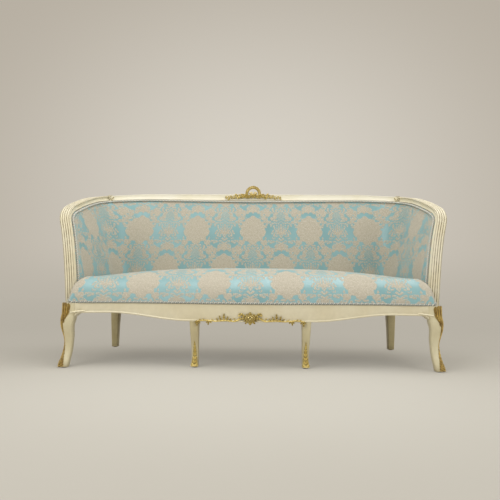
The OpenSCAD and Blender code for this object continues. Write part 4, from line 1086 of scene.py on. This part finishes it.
FRONT_STEPS, TURN_STEPS, SIDE_STEPS, BACK_STEPS = 150, 8, 30, 24
FRONT_TURN_R, BACK_TURN_R = 14.0, 60.0


def seat_outline(z):
    """The seat's outline at a height, each point with 0 on the front face and 1 on the sides and back."""
    edge_x, back = corner_x(z) - roll(z), seat_back_y(z)
    corner_y = seat_front_y(edge_x - FRONT_TURN_R, z) + FRONT_TURN_R
    turn_y = back - BACK_TURN_R
    turn_x = seat_side_x(turn_y, z) - BACK_TURN_R
    angles = np.linspace(0, math.pi / 2, TURN_STEPS + 1)
    half = [(edge_x - FRONT_TURN_R * (1 - math.sin(a)), corner_y - FRONT_TURN_R * math.cos(a), k / TURN_STEPS)
            for k, a in enumerate(angles)]
    half += [(seat_side_x(y, z), y, 1.0) for y in np.linspace(corner_y, turn_y, SIDE_STEPS + 1)[1:]]
    half += [(turn_x + BACK_TURN_R * math.cos(a), turn_y + BACK_TURN_R * math.sin(a), 1.0)
             for a in angles[1:]]
    half += [(turn_x * (1 - s), back, 1.0) for s in np.linspace(0, 1, BACK_STEPS + 1)[1:]]
    edge = half[0][0]
    front = [(x, seat_front_y(x, z), 0.0) for x in np.linspace(-edge, edge, FRONT_STEPS + 1)[1:-1]]
    return front + half + [(-p[0], p[1], p[2]) for p in half[-2::-1]]


def seat():
    """The seat: a border that leans back from the rail, and a crown that rises to the middle."""
    levels = np.linspace(FRAME_H + GAP, BORDER_TOP, 22)
    lengths = run_along(np.array([(border_back(z), z) for z in levels]))
    border, top_ring = lengths[-1], seat_outline(BORDER_TOP)
    verts, uvs = [], []
    for z, arc in zip(levels, lengths):
        for p, q in zip(seat_outline(z), top_ring):
            v_top = border + q[1] - seat_front_y(q[0], BORDER_TOP)
            side_u = math.copysign(abs(q[0]) + math.hypot(p[0] - q[0], BORDER_TOP - z), q[0])
            verts.append(np.array([p[0], p[1], z]))
            uvs.append((p[0] * (1 - p[2]) + side_u * p[2], arc * (1 - p[2]) + v_top * p[2]))
    shares = np.concatenate([np.linspace(1, 0.8, 12)[1:], np.linspace(0.8, 0.03, 26)[1:]])
    for k in shares:
        for q in top_ring:
            x, y = q[0] * k, CROWN_Y + (q[1] - CROWN_Y) * k
            verts.append(np.array([x, y, crown_z(x, y)]))
            uvs.append((x, border + y - seat_front_y(x, BORDER_TOP)))
    faces = closed_faces(len(levels) + len(shares), len(top_ring))
    uvs = (np.array(uvs) - np.array([PERIOD / 2, SEAT_ROW])) * MM
    obj = make("seat_upholstery", verts, faces, DAMASK, ["seat_cover", "seat_pad"], uvs, sharp=SOFT_SHARP)


seat()


def resample(points, step):
    """A line's points at even steps, and the length up to each."""
    points = np.asarray(points, float)
    run = run_along(points)
    s = np.linspace(0, run[-1], max(2, int(run[-1] / step)) + 1)
    return np.stack([np.interp(s, run, points[:, k]) for k in range(3)], 1), s


TACK_STEP, TACKS_APART, PUCKER = 9.0, 5, 0.5


def stretched_cloth(name, node, material, sag):
    """A cloth tacked round its edge: the node's outline, filled by rings that sag and pucker at the tacks."""
    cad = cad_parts[node]
    places = np.array([cad.matrix_world @ v.co for v in cad.data.vertices]) / MM
    low, high = places[:, 2].min(), places[:, 2].max()
    edge = places[places[:, 2] < low + 0.2][:, :2]
    middle = (edge.min(0) + edge.max(0)) / 2
    away = edge - middle
    edge = edge[np.argsort(np.arctan2(away[:, 1], away[:, 0]))]
    edge, _ = resample(np.vstack([np.column_stack([edge, np.zeros(len(edge))]), [*edge[0], 0.0]]), TACK_STEP)
    edge = edge[:-1, :2]
    n = len(edge)
    puckers = np.sin(np.arange(n) * math.tau / TACKS_APART)
    rings = []
    for k in np.concatenate([np.linspace(1, 0.94, 6), np.linspace(0.94, 0.02, 30)[1:]]):
        drop = sag * (1 - k * k) + PUCKER * puckers * math.exp(-((k - 0.97) / 0.02) ** 2)
        rings.append(np.column_stack([middle + (edge - middle) * k, -drop]))
    # the top from its middle to its edge, and back to the middle underneath
    rows = [r + [0, 0, high] for r in rings[::-1]] + [r + [0, 0, low] for r in rings]
    obj = make(name, np.vstack(rows), closed_faces(len(rows), n), material, [node], sharp=SOFT_SHARP)
    wide, deep = (edge.max(0) - edge.min(0)) * MM
    nxt = np.roll(edge, -1, 0)
    area = abs((edge[:, 0] * nxt[:, 1] - nxt[:, 0] * edge[:, 1]).sum()) / 2 * MM * MM


STRAP_W, STRAP_T, STRAP_END, STRAP_LEVELS = 50.0, 1.5, 19, (0.3, 0.5, 0.7)
ACROSS = np.array([-1, -0.5, 0, 0.5, 1])


def webbing():
    """Three straps behind the inside cover, round from one arm to the other."""
    stations = np.linspace(-STRAP_END, STRAP_END, 153)
    verts, faces, longest = [], [], 0.0
    for level in STRAP_LEVELS:
        base, line = len(verts), []
        for i in stations:
            k = abs(i)
            half = STRAP_W / 2 / np.linalg.norm(wall_high(k) - wall_low(k))
            w = -0.5 - 3.5 * min(1.0, max(0.0, k - CORNER_START))
            across = [wall(i, level + half * q, w) for q in ACROSS]
            line.append(across[2])
            verts += across + [wall(i, level + half * q, w - STRAP_T) for q in ACROSS[::-1]]
        faces += closed_faces(len(stations), 2 * len(ACROSS), base)
        longest = max(longest, run_along(np.array(line))[-1] * MM)
    obj = make("jute_straps", verts, faces, JUTE, ["back_webbing"], sharp=SOFT_SHARP)


stretched_cloth("black_lining", "dust_cover", LINING, 3.0)
stretched_cloth("hessian_platform", "seat_burlap", HESSIAN, 0.3)
webbing()

# Cords
CORD_R, TWIST_PITCH, CORD_SIDES, CORD_STEP = 5.0, 19.0, 14, 1.3
WALL_CORD_END, SEAT_CORD_R, SEAT_CORD_RISE = 33.0, 22.0, 14.0
SEAT_CORD_OUT = GIMP / 2 + 1.5


def twisted(points, radius, up, flat=1.0, two_tone=0.2):
    """A cord of two strands along points. up is the way that its section's second axis points."""
    pts, s = resample(points, CORD_STEP)
    rings, glaze_and_shade_values = [], []
    for k, p in enumerate(pts):
        t = unit(pts[min(len(pts) - 1, k + 1)] - pts[max(0, k - 1)])
        n = unit(np.cross(t, np.asarray(up(k / (len(pts) - 1)), float)))
        a = np.cross(n, t)
        phase = math.tau * s[k] / TWIST_PITCH
        ring, glaze = [], []
        for th in circle(CORD_SIDES):
            crown = abs(math.cos(th - phase))
            r = radius * (0.66 + 0.34 * crown ** 0.8)
            ring.append(p + r * (math.cos(th) * n * flat + math.sin(th) * a))
            # painted shade: darker towards the grooves between the strands; two_tone also makes one strand
            # partly darker
            dark = 0.0 if math.cos(th - phase) > 0 else two_tone
            glaze.append(dark + (1 - dark) * (1 - crown))
        rings.append(ring)
        glaze_and_shade_values.append(glaze)
    b = Build()
    b.loft(rings, glaze_and_shade_values)
    return b


def wall_cord(w):
    points = []
    for i in np.linspace(-WALL_CORD_END, WALL_CORD_END, 340):
        k = abs(i)
        points.append(at_hand(i, path(k) - (below(k) + GIMP / 2 + GAP) * face_up(k) + w * face_in(k)))
    return points


def wall_up(s):
    i = WALL_CORD_END * (2 * s - 1)
    return at_hand(i, face_up(abs(i)))


def seat_cord():
    """The cord along the seat's foot, which turns back and rises at each end."""
    z, edge = FRAME_H + GIMP / 2 + GAP, SEAT_CORNER_X + GIMP / 2 - SEAT_CORD_R
    corner_y = seat_front_y(edge, FRAME_H, -SEAT_CORD_OUT) + SEAT_CORD_R
    angles = np.linspace(0, math.pi / 2, 9)
    end = [np.array([edge + SEAT_CORD_R * math.sin(a), corner_y - SEAT_CORD_R * math.cos(a),
                     z + SEAT_CORD_RISE * k / 8]) for k, a in enumerate(angles)]
    front = [np.array([x, seat_front_y(x, FRAME_H, -SEAT_CORD_OUT), z])
             for x in np.linspace(-edge, edge, 160)[1:-1]]
    return [p * FLIP for p in end[::-1]] + front + end


inside_gimp = twisted(wall_cord(INSIDE_FACE + CLOTH_T + GIMP / 2 + 0.8), CORD_R, wall_up)
inside_gimp.done("inside_gimp", WALL_CORD_LIT, "inside_trim")
outside_gimp = twisted(wall_cord(OUTSIDE_FACE - 2.9), GIMP / 2, wall_up, flat=0.4)
outside_gimp.done("outside_gimp", CORD, "outside_trim")
seat_gimp = twisted(seat_cord(), CORD_R + 0.5, lambda s: (0, 0, 1), two_tone=0.4)
seat_gimp.done("seat_gimp", CORD, "seat_trim")


# Carving
FORWARD = np.array([0.0, -1.0, 0.0])
CARVED_SHARP, BEAD_SIDES, BEAD_RINGS, SCROLL_STEPS = 60, 12, 8, 34


def lobe(s, n):
    """How far a leaf's outline stands out at a share of its length: n rounded lobes with notches between."""
    return abs(math.sin(n * math.pi * s)) ** 0.55


def relief(b, point, lobes, thick, nu, nv, veins=0):
    """Carves a leaf's lobes, veins and midrib over point(u, v), which gives a place and its normal."""
    rings, glaze_and_shade_values = [], []
    for k in range(nu + 1):
        u = k / nu
        top, low, glaze = [], [], []
        for j in range(nv + 1):
            v = 2 * j / nv - 1
            p, n = point(u, v)
            ridge = abs(math.sin(lobes * math.pi * (u - 0.16 * abs(v)))) ** 0.8
            if veins:
                vein = abs(math.cos(veins * math.pi * v * (1 - 0.3 * u)))
                ridge = (0.25 + 0.75 * vein) * (0.8 + 0.2 * ridge)
            midrib = math.exp(-(v / 0.14) ** 2)
            groove = math.exp(-((abs(v) - 0.24) / 0.10) ** 2)
            h = thick * ((1 - 0.5 * v * v) * (0.35 + 0.65 * ridge) * (1 - 0.45 * groove) + 0.25 * midrib)
            top.append(p + n * h)
            low.append(p - n)
            # dark in the notches, grooves and edges and all underneath: partly real dirt in the hollows,
            # partly painted shade
            glaze.append(min(1.0, 0.95 * (1 - ridge) ** 1.3 + 0.55 * groove + 0.5 * abs(v) ** 6))
        rings.append(top + low[::-1])
        glaze_and_shade_values.append(glaze + [1.0] * len(low))
    b.loft(rings, glaze_and_shade_values)


def leaf(b, base, tip, width, lobes, thick, bow, curl, sway=0.0, nu=28, nv=10):
    """A lobed leaf from base to tip that faces forward: ribbed, domed and notched, closed underneath."""
    way = tip - base
    side = unit(np.cross(way, FORWARD))
    normal = unit(np.cross(side, way))

    def point(u, v):
        arch, out = math.sin(math.pi * u), lobe(u, lobes)
        half = width / 2 * max(0.04, math.sin(math.pi * min(1, u ** 0.72)) ** 0.7) * (0.5 + 0.5 * out)
        middle = base + way * u + normal * (bow * arch + curl * u ** 3) + side * sway * arch
        return middle + side * half * v + way * 0.06 * abs(v) * out, normal

    relief(b, point, lobes, thick, nu, nv)


def tube(b, points, radii, sides=10, glaze=0.0):
    """A round rod along points, with a radius for each."""
    rings = []
    for k, (p, r) in enumerate(zip(points, radii)):
        t = unit(points[min(len(points) - 1, k + 1)] - points[max(0, k - 1)])
        n = unit(np.cross(FORWARD, t))
        a = np.cross(n, t)
        rings.append([p + r * (math.cos(th) * n + math.sin(th) * a) for th in circle(sides)])
    b.loft(rings, [[glaze] * sides] * len(rings))


def bead(b, c, r, flat=1.0, glaze=0.0):
    """A ball, flattened from front to back by flat, with painted shade below it."""
    rings, glaze_and_shade_values = [], []
    for k in range(BEAD_RINGS + 1):
        a = math.pi * (0.02 + 0.96 * k / BEAD_RINGS)
        wide, z = math.sin(a), -math.cos(a)
        rings.append([c + r * np.array([wide * math.cos(th), wide * math.sin(th) * flat, z])
                      for th in circle(BEAD_SIDES)])
        # painted shade, darker towards the ball's underside
        glaze_and_shade_values.append([glaze + 0.6 * (1 - k / BEAD_RINGS) ** 2] * BEAD_SIDES)
    b.loft(rings, glaze_and_shade_values)


def scroll(b, eye, size, turns, r0, r1, start):
    """A C-scroll in the X-Z plane that winds in to its eye and ends in a bead."""
    shares = np.linspace(0, 1, SCROLL_STEPS + 1)
    points = [eye + size * (1 - 0.78 * s) * np.array([math.cos(a), 0, math.sin(a)])
              for s, a in zip(shares, start + math.tau * turns * shares)]
    tube(b, points, r0 + (r1 - r0) * shares)
    bead(b, points[-1], r1 * 1.5)


def rosette(b, c, r, petals, out):
    """A flower of cupped petals round a boss, facing forward."""
    for k in range(petals):
        a = math.tau * (k + 0.25) / petals
        d = np.array([math.cos(a), 0, math.sin(a)]) * r
        leaf(b, c + d * 0.15 + FORWARD, c + d, r, 1, out, 2.0, 1.0, nu=12, nv=8)
    bead(b, c + FORWARD * out, r * 0.26)


def spray(b, stem, leaf_size, every):
    """Small leaves that grow from a stem, on both sides in turn, with a berry at each joint."""
    pts, _ = resample(stem, every)
    for k in range(1, len(pts)):
        t = unit(pts[k] - pts[k - 1])
        side = unit(np.cross(t, FORWARD))
        hand = 1 if k % 2 else -1
        size = leaf_size * (0.8 + 0.35 * RNG.random()) * (1 - 0.3 * k / len(pts))
        for turn_by, share in ((hand, 1.0), (-hand, 0.7)):
            tip, sway = pts[k] + (t * 0.75 + side * turn_by * 0.7) * size * share, turn_by * size * 0.08
            leaf(b, pts[k] - t * 2, tip, size * 0.74 * share, 2, 3.0, 1.5, 1.0, sway, nu=14, nv=6)
        bead(b, pts[k] + FORWARD * 2.6, 2.1)


WREATH_R, WREATH_LIFT = 39.0, 16.0


def crest_carving():
    b = Build()

    def at(x, lift, out):
        return np.array([x, BACK_REACH - RAIL_W - 1.5 - out, CREST_H - 15.0 + lift])

    # the wreath: an arch wound with leaves, and a spray at its top
    middle, top = at(0, WREATH_LIFT, 3), WREATH_LIFT + WREATH_R
    arch = [middle + WREATH_R * np.array([math.cos(a), 0, math.sin(a)])
            for a in np.linspace(-0.3, math.pi + 0.3, 45)]
    tube(b, arch, [5.2] * len(arch), glaze=0.6)
    for k in range(2, 44, 3):
        p, t = arch[k], unit(arch[k + 1] - arch[k - 1])
        out = unit(p - middle)
        rise = t if p[0] > 0 else -t
        leaf(b, p - rise * 4 - out, p + out * 10.5 + rise * 7, 13, 1, 5.5, 2.0, 1.5, nu=12, nv=8)
        leaf(b, p - rise * 4 + out, p - out * 8.5 + rise * 7, 11, 1, 5.0, 2.0, 1.0, nu=12, nv=8)
        bead(b, p + FORWARD * 5.5, 3.4)
    for x, lift, w in ((0, 9, 12), (-12, 6, 9), (12, 6, 9), (-21, 1.5, 8), (21, 1.5, 8)):
        leaf(b, at(x * 0.35, top - 2, 4), at(x, top - 1 + lift, 3), w, 2, 3.6, 1.5, 2, nu=14)
    # two small scrolls and a shell within it
    for hand in (-1, 1):
        scroll(b, at(hand * 12, 22, 3), 9.5, -hand * 1.15, 3.0, 1.8, math.pi * (0.1 if hand > 0 else 0.9))
        leaf(b, at(hand * 4, 4, 4), at(hand * 25, 19, 4), 12, 3, 4, 2, 1.5, hand * 2)
    for a in np.radians([-60, -30, 0, 30, 60]):
        leaf(b, at(0, 1, 5), at(20 * math.sin(a), 1 + 17 * math.cos(a), 4), 9, 1, 4.0, 1.5, 2, nu=12, nv=8)
    rosette(b, at(0, -1, 7), 13, 6, 3.6)
    for hand in (-1, 1):
        rosette(b, at(hand * 24, -3, 5), 11, 5, 3.2)
        rosette(b, at(hand * 50, 3, 3), 9, 5, 2.8)
        leaf(b, at(hand * 14, -6, 4), at(hand * 44, -15, 3), 15, 3, 3.8, 2, 1.5, -hand * 2)
        # sprays along the face of the rail
        leaf(b, at(hand * 26, 4, 3), at(hand * 70, 13, 3), 17, 3, 4.0, 3, 2, hand * 3)
        leaf(b, at(hand * 34, -5, 3), at(hand * 84, -9, 2), 16, 3, 4.0, 3, 2, -hand * 3)
        stem = [at(hand * x, -3 - 4 * math.sin(x / 20) - x / 40, 2) for x in np.linspace(50, 168, 40)]
        tube(b, stem, np.linspace(2.8, 1.4, len(stem)), glaze=0.3)
        spray(b, stem, 23, 15)
        leaf(b, stem[-1] - [hand * 4, 0, 0], stem[-1] + [hand * 13, 0, 0.5], 8, 2, 3.0, 1, 1)
    b.done("crest_carving", GILT, "crest_ornament", sharp=CARVED_SHARP)


BOSS_LIFT = 20.0


def apron_carving():
    b = Build()

    def at(x, lift, out=2.0):
        return np.array([x, front_y(x) - out, apron_z(x) + lift])

    def round_boss(a, x, z, out):
        return at(x * math.sin(a), BOSS_LIFT + z * math.cos(a), out)

    # the cartouche: leaves all round a boss of pearls, longest below and at the sides
    for k in range(16):
        a = math.tau * (k + 0.5) / 16
        tip = round_boss(a, 36 + 4 * (k % 2), 22 if math.cos(a) > 0 else 27, 1.5)
        leaf(b, round_boss(a, 10, 6, 2.5), tip, 12, 2, 4.2, 2.5, 2.5, nu=16, nv=8)
    for a in circle(10):
        leaf(b, round_boss(a, 4, 3, 5), round_boss(a, 22, 15, 4.5), 9.5, 2, 4.0, 2.0, 1.5, nu=14, nv=8)
    for x, lift, r in ((-8, 2, 4.6), (8, 2, 4.6), (0, -5, 3.6), (0, 8, 3.4)):
        bead(b, at(x, BOSS_LIFT + lift, 9), r)
    leaf(b, at(0, 6, 3), at(0, -13, 1.5), 17, 3, 4.4, 2, 3)
    leaf(b, at(0, 32, 3), at(0, 48, 1.5), 14, 3, 4.0, 2, 2)
    for hand in (-1, 1):
        leaf(b, at(hand * 8, 8, 3), at(hand * 24, -7, 1.5), 13, 3, 4, 2, 2)
        # the upper curls and the leaves that lead to the vine
        leaf(b, at(hand * 26, 24, 2.5), at(hand * 55, 39, 1.5), 14, 3, 4, 3, 3, -hand * 5)
        scroll(b, at(hand * 52, 32, 3), 5.5, hand, 2.6, 1.6, math.pi * (0.9 if hand > 0 else 0.1))
        leaf(b, at(hand * 24, 16, 2), at(hand * 58, 17, 1.5), 13, 3, 4, 2, 2)
        # the vine on the bead, with buds above it and drops at its end
        vine = [at(hand * x, 5 + 2 * math.sin(x / 15) + 12 * smoothstep((78 - x) / 40), 3)
                for x in np.linspace(40, 250, 80)]
        tube(b, vine, np.linspace(3.4, 2.4, len(vine)))
        for x0, x1, lift, w in ((112, 104, 24, 10), (124, 124, 36, 12), (138, 146, 26, 10), (150, 162, 14, 8),
                                (98, 90, 14, 8)):
            leaf(b, at(hand * x0, 4), at(hand * x1, 4 + lift), w, 3, 3.8, 2, 1.5, nu=20)
        bead(b, at(hand * 124, 13, 5), 3.0)
        for x0, lift in ((66, 16), (84, 11), (172, 9), (214, 10), (230, 8)):
            leaf(b, at(hand * x0, 5), at(hand * (x0 + 13), 5 + lift), 7, 2, 3.0, 1.5, 1.5, nu=14, nv=6)
        for x0, drop in ((196, 15), (250, 22)):
            leaf(b, at(hand * x0, 6), at(hand * (x0 + 3), -drop), 12, 3, 3.8, 2, 1.5)
            leaf(b, at(hand * (x0 - 2), 6), at(hand * (x0 - 14), -drop * 0.4), 9, 2, 3.4, 1.5, 1.5)
            leaf(b, at(hand * (x0 + 2), 6), at(hand * (x0 + 13), -drop * 0.35), 9, 2, 3.4, 1.5, 1.5)
            bead(b, at(hand * x0, 4, 5), 3.2)
    b.done("apron_carving", GILT, "apron_ornament", sharp=CARVED_SHARP)


def station_at(stations, z):
    """The values of a leg's stations at a height, found by halving."""
    low, high = 0.0, 1.0
    for _ in range(24):
        mid = (low + high) / 2
        low, high = (mid, high) if through(stations, mid)[0] < z else (low, mid)
    return through(stations, (low + high) / 2)


OUT = unit(np.array([1.0, -1.0, 0.0]))
ARRIS_ROUND, ARRIS_CUT = 7.0, 1.6


def on_leg(z, across):
    """A place on the front leg's skin and its normal. across runs from the arris, under 0 over the front."""
    face = FORWARD if across < 0 else np.array([1.0, 0, 0])
    way = np.array([-1.0, 0, 0]) if across < 0 else -FORWARD
    w = smoothstep(abs(across) / ARRIS_ROUND)
    x, y = LEG_C + (KNEE_W / 2 + station_at(FRONT_STATIONS, min(z, FRAME_H))[1]) * DIAGONAL
    return np.array([x, y, z]) + way * abs(across) - OUT * ARRIS_CUT * (1 - w), unit(OUT * (1 - w) + face * w)


def leg_leaf(b, place, z0, z1, width, lobes, thick, full, offset=0.0, sway=0.0, nu=46, nv=16, veins=0,
             lobed=0.38):
    """A leaf on a leg, from z0 to its tip at z1. place(height, across) gives a place and its normal."""

    def point(u, v):
        half = width / 2 * (math.sin(math.pi * min(1.0, 0.16 + 0.84 * u) ** full) ** 0.8 + 0.03)
        edge = half * (1 - lobed + lobed * lobe(u, lobes))
        height = z0 + (z1 - z0) * (u + 0.05 * abs(v) * lobe(u, lobes))
        return place(height, offset + sway * math.sin(math.pi * u) + edge * v)

    relief(b, point, lobes, thick, nu, nv, veins)


def front_leg_carving():
    knee, toe = Build(), Build()
    # gilt moulding down the arris
    line = [on_leg(z, 0)[0] + OUT * 0.6 for z in np.linspace(70, 250, 90)]
    heights = [p[2] for p in line]
    tube(knee, line, [1.9 + 1.6 * smoothstep((z - 150) / 80) + smoothstep((100 - z) / 30) for z in heights])
    # one oval acanthus on the knee, rooted under the post, whose veins run on down the arris
    leg_leaf(knee, on_leg, 304, 214, 62, 1, 3.2, 0.85, offset=-3, nu=60, nv=40, veins=4)
    leg_leaf(knee, on_leg, 302, 232, 30, 1, 5.0, 0.85, offset=-3, nu=50, nv=24, veins=2)
    leg_leaf(knee, on_leg, 250, 148, 20, 1, 3.2, 0.6, veins=1)
    for hand in (-1, 1):
        for z0, z1, off, w in ((300, 262, 25, 15), (280, 244, 20, 13), (260, 226, 14, 10), (240, 208, 8, 8)):
            leg_leaf(knee, on_leg, z0, z1, w, 2, 4.0, 0.8, hand * off - 3, hand * 3, nu=24, nv=10, veins=1)
    # leaves round the toe, in steps up the arris
    leg_leaf(toe, on_leg, 5, 66, 44, 5, 5.4, 0.35, offset=-3)
    leg_leaf(toe, on_leg, 5, 42, 28, 4, 8.6, 0.45, offset=-3)
    for z0, z1, w, thick in ((44, 84, 20, 5.0), (64, 100, 13, 4.2), (84, 116, 8, 3.4)):
        leg_leaf(toe, on_leg, z0, z1, w, 3, thick, 0.7, nu=30)
    for b, name, node in ((knee, "knee_carving", "knee_leaves"), (toe, "toe_carving", "toe_leaves")):
        b.join(b.mirrored())
        b.done(name, GILT_LEG, node, sharp=CARVED_SHARP)


def middle_leg_carving():
    b = Build()

    def on_face(z, across):
        _, off, w, back, d = station_at(MIDDLE_STATIONS, z)
        x = MIDDLE_X - MIDDLE_TOP_W / 2 + off + w / 2 + across
        return np.array([x, MIDDLE_Y + back - d / 2, z]), FORWARD

    for z0, z1, w, lobes, thick, full, offset in (
            (94, 126, 11, 3, 3.4, 0.5, 0), (76, 110, 16, 3, 4.0, 0.5, 0), (58, 92, 21, 3, 4.6, 0.5, 0),
            (38, 76, 25, 3, 5.0, 0.5, 0), (5, 60, 38, 4, 5.4, 0.4, 0), (5, 38, 20, 3, 7.5, 0.5, 0),
            (5, 44, 11, 3, 4.6, 0.5, -10), (5, 44, 11, 3, 4.6, 0.5, 10)):
        leg_leaf(b, on_face, z0, z1, w, lobes, thick, full, offset, nu=34, nv=12, lobed=0.4)
    for z, across, out, r in ((9, -6, 5, 3.6), (9, 6, 5, 3.6), (8, 0, 7, 4.4)):
        bead(b, on_face(z, across)[0] + FORWARD * out, r)
    b.join(b.mirrored())
    b.done("middle_leg_carving", GILT, "middle_leg_leaves", sharp=CARVED_SHARP)


RIBBON_STEPS, RIBBON_SIDES, BAND_SIDES = 26, 12, 10


def ribbons():
    """A knotted bow on the rail where the crest meets the arm, and two bands that cross over the reeds."""
    b = Build()
    n, a, t = face_in(JOINT_AT), face_up(JOINT_AT), along(JOINT_AT)
    base = path(JOINT_AT) + n * (RAIL_W / 2 - 2)
    for hand in (-1, 1):
        over = 3.2 + (1.6 if hand > 0 else 0)
        points = [base + t * 19 * s + a * (hand * 15 * math.sin(s * 1.5) - 2) + n * (over - 2.4 * s * s)
                  for s in np.linspace(-1, 1, RIBBON_STEPS)]
        rings = []
        for k, p in enumerate(points):
            way = unit(points[min(RIBBON_STEPS - 1, k + 1)] - points[max(0, k - 1)])
            side, ring = unit(np.cross(way, n)), []
            for th in circle(RIBBON_SIDES):
                groove = 1 - 0.3 * math.exp(-(math.cos(th) / 0.3) ** 2) * (math.sin(th) > 0)
                ring.append(p + side * 6.4 * math.cos(th) + n * 2.6 * math.sin(th) * groove)
            rings.append(ring)
        # dark in the front groove, partly real glaze and partly painted shade, and painted shade over the
        # back half
        glaze = [0.9 * math.exp(-(math.cos(th) / 0.35) ** 2) if math.sin(th) > 0 else 0.5
                 for th in circle(RIBBON_SIDES)]
        b.loft(rings, [glaze] * RIBBON_STEPS)
    bead(b, base + n * 6 - a * 2, 4.4, 0.6, glaze=0.2)
    for hand in (-1, 1):
        lift = RAIL_T / 2 + 0.8 + (0.8 if hand > 0 else 0)
        rings = [[path(JOINT_AT) + n * x + a * (lift + 1.8 * math.sin(th))
                  + t * (hand * 10 * x / (RAIL_W / 2) + 4.6 * math.cos(th)) for th in circle(BAND_SIDES)]
                 for x in np.linspace(RAIL_W / 2 - 1, -RAIL_W / 2 + 1, 24)]
        # painted shade on the bands' undersides
        b.loft(rings, [[0.3 if math.sin(th) < 0.3 else 0.0 for th in circle(BAND_SIDES)]] * len(rings))
    b.join(b.mirrored())
    b.done("rail_ribbons_carved", BOW, "rail_ribbons", sharp=CARVED_SHARP)


front_rail().done("front_seat_rail_moulded", CREAM_RAIL, "front_seat_rail", sharp=WOOD_SHARP)
crest_carving()
apron_carving()
front_leg_carving()
middle_leg_carving()
ribbons()

# Floor, light and camera
SWEEP_Y, SWEEP_R, SWEEP_SIDE, SWEEP_FRONT, SWEEP_TOP = 1.2, 1.6, 7.0, -6.0, 6.0


def backdrop():
    """A paper sweep that takes the sofa's shadow and glows for camera and gloss rays with a painted pool of
    light, brighter at the middle and darker to the sides, and a glow that grows towards the back and lightens
    the shadow there.
    """
    p = Paint("studio_paper")
    x, y, z = p.axes(p.object_place())
    grain = p.noise(3.0, 2.0)
    p.colour(p.mix(p.ramp(grain, 0.4, 0.7, 0.0, 0.06), srgb(193, 188, 177), srgb(185, 179, 168)))
    p.rough(p.ramp(grain, 0.3, 0.7, 0.85, 0.95))
    p.bump(grain, 0.001, 0.1)
    # painted pool of light: the glow is brighter at the middle of the wall and on the floor in front of the
    # sofa, darker to the sides
    far = length(x / 4.2, (z - 1.7) / 3.2)
    wall_light_pool = p.mix(p.ramp(far, 0.02, 1.1), srgb(214, 208, 197), srgb(184, 176, 163))
    near = length(x / 1.6, (y + 0.7) / 0.9)
    floor_light_pool = p.mix(p.ramp(near, 0.2, 1.0), srgb(213, 209, 197), srgb(184, 178, 166))
    glow = p.node("Emission")
    p.link(p.mix(p.ramp(z, 0.9, 0.0), wall_light_pool, floor_light_pool), glow.inputs["Color"])
    rays = p.node("LightPath").outputs
    seen = Ex(p.tree, rays["Is Camera Ray"]) + Ex(p.tree, rays["Is Glossy Ray"])
    seen = (seen + Ex(p.tree, rays["Is Transmission Ray"])).clamped()
    # painted light: the glow's share grows towards the back of the floor and lightens the sofa's shadow there
    wall_share = (p.ramp(z, 0.0, 0.9, 0.0, 1.0) + p.ramp(y, -0.15, 0.5, 0.38, 0.84)).clamped()
    mix = p.node("MixShader")
    p.link(seen * wall_share, mix.inputs[0])
    p.link(p.bsdf.outputs[0], mix.inputs[1])
    p.link(glow.outputs[0], mix.inputs[2])
    p.link(mix.outputs[0], p.tree.nodes["Material Output"].inputs["Surface"])
    profile = [(SWEEP_FRONT, 0.0), (SWEEP_Y, 0.0)]
    profile += [(SWEEP_Y + SWEEP_R * math.sin(a), SWEEP_R * (1 - math.cos(a)))
                for a in np.linspace(0, math.pi / 2, 24)[1:]]
    profile += [(SWEEP_Y + SWEEP_R, SWEEP_TOP)]
    verts = [(side * SWEEP_SIDE, *q) for q in profile for side in (-1, 1)]
    faces = [(2 * k, 2 * k + 1, 2 * k + 3, 2 * k + 2) for k in range(len(profile) - 1)]
    mesh = bpy.data.meshes.new("backdrop")
    mesh.from_pydata(verts, [], faces)
    mesh.polygons.foreach_set("use_smooth", [True] * len(mesh.polygons))
    mesh.materials.append(p.mat)
    add_object("backdrop", mesh)


backdrop()


def lamp(name, at, to, size, power, size_y=None):
    data = bpy.data.lights.new(name, "AREA")
    data.energy, data.size = power, size
    if size_y:
        data.shape, data.size_y = "RECTANGLE", size_y
    obj = add_object(name, data)
    obj.location = at
    obj.rotation_mode = "QUATERNION"
    obj.rotation_quaternion = (Vector(to) - Vector(at)).to_track_quat("-Z", "Y")


lamp("top_softbox", (0.2, -0.4, 2.9), (0.0, -0.1, 0.3), 3.6, 68, 1.6)
lamp("key", (-2.4, -3.0, 2.2), (0.0, 0.0, 0.5), 2.4, 54)
lamp("fill", (2.8, -3.0, 1.6), (0.0, 0.0, 0.5), 2.4, 42)
world = bpy.context.scene.world or bpy.data.worlds.new("studio")
bpy.context.scene.world = world
world.use_nodes = True
world.node_tree.nodes["Background"].inputs["Color"].default_value = srgb(238, 236, 230)
world.node_tree.nodes["Background"].inputs["Strength"].default_value = 0.5

# The camera recovered from the photograph, with its angles in radians and its focal length in pixels
YAW, PITCH, ROLL, FOCAL_PX, FRAME_PX, SENSOR_W = math.radians(1.23), 0.0774, 0.0081, 417.2, 500.0, 36.0
cam = bpy.data.cameras.new("camera")
cam.sensor_width = SENSOR_W
cam.lens = SENSOR_W * FOCAL_PX / FRAME_PX
camera = add_object("camera", cam)
camera.location = (0.039, -2.328, 0.406)
look = Vector((-math.sin(YAW) * math.cos(PITCH), math.cos(YAW) * math.cos(PITCH), math.sin(PITCH)))
camera.rotation_mode = "QUATERNION"
camera.rotation_quaternion = look.to_track_quat("-Z", "Y") @ Quaternion((0, 0, 1), ROLL)
bpy.context.scene.camera = camera
bpy.context.scene.view_settings.view_transform = "Standard"
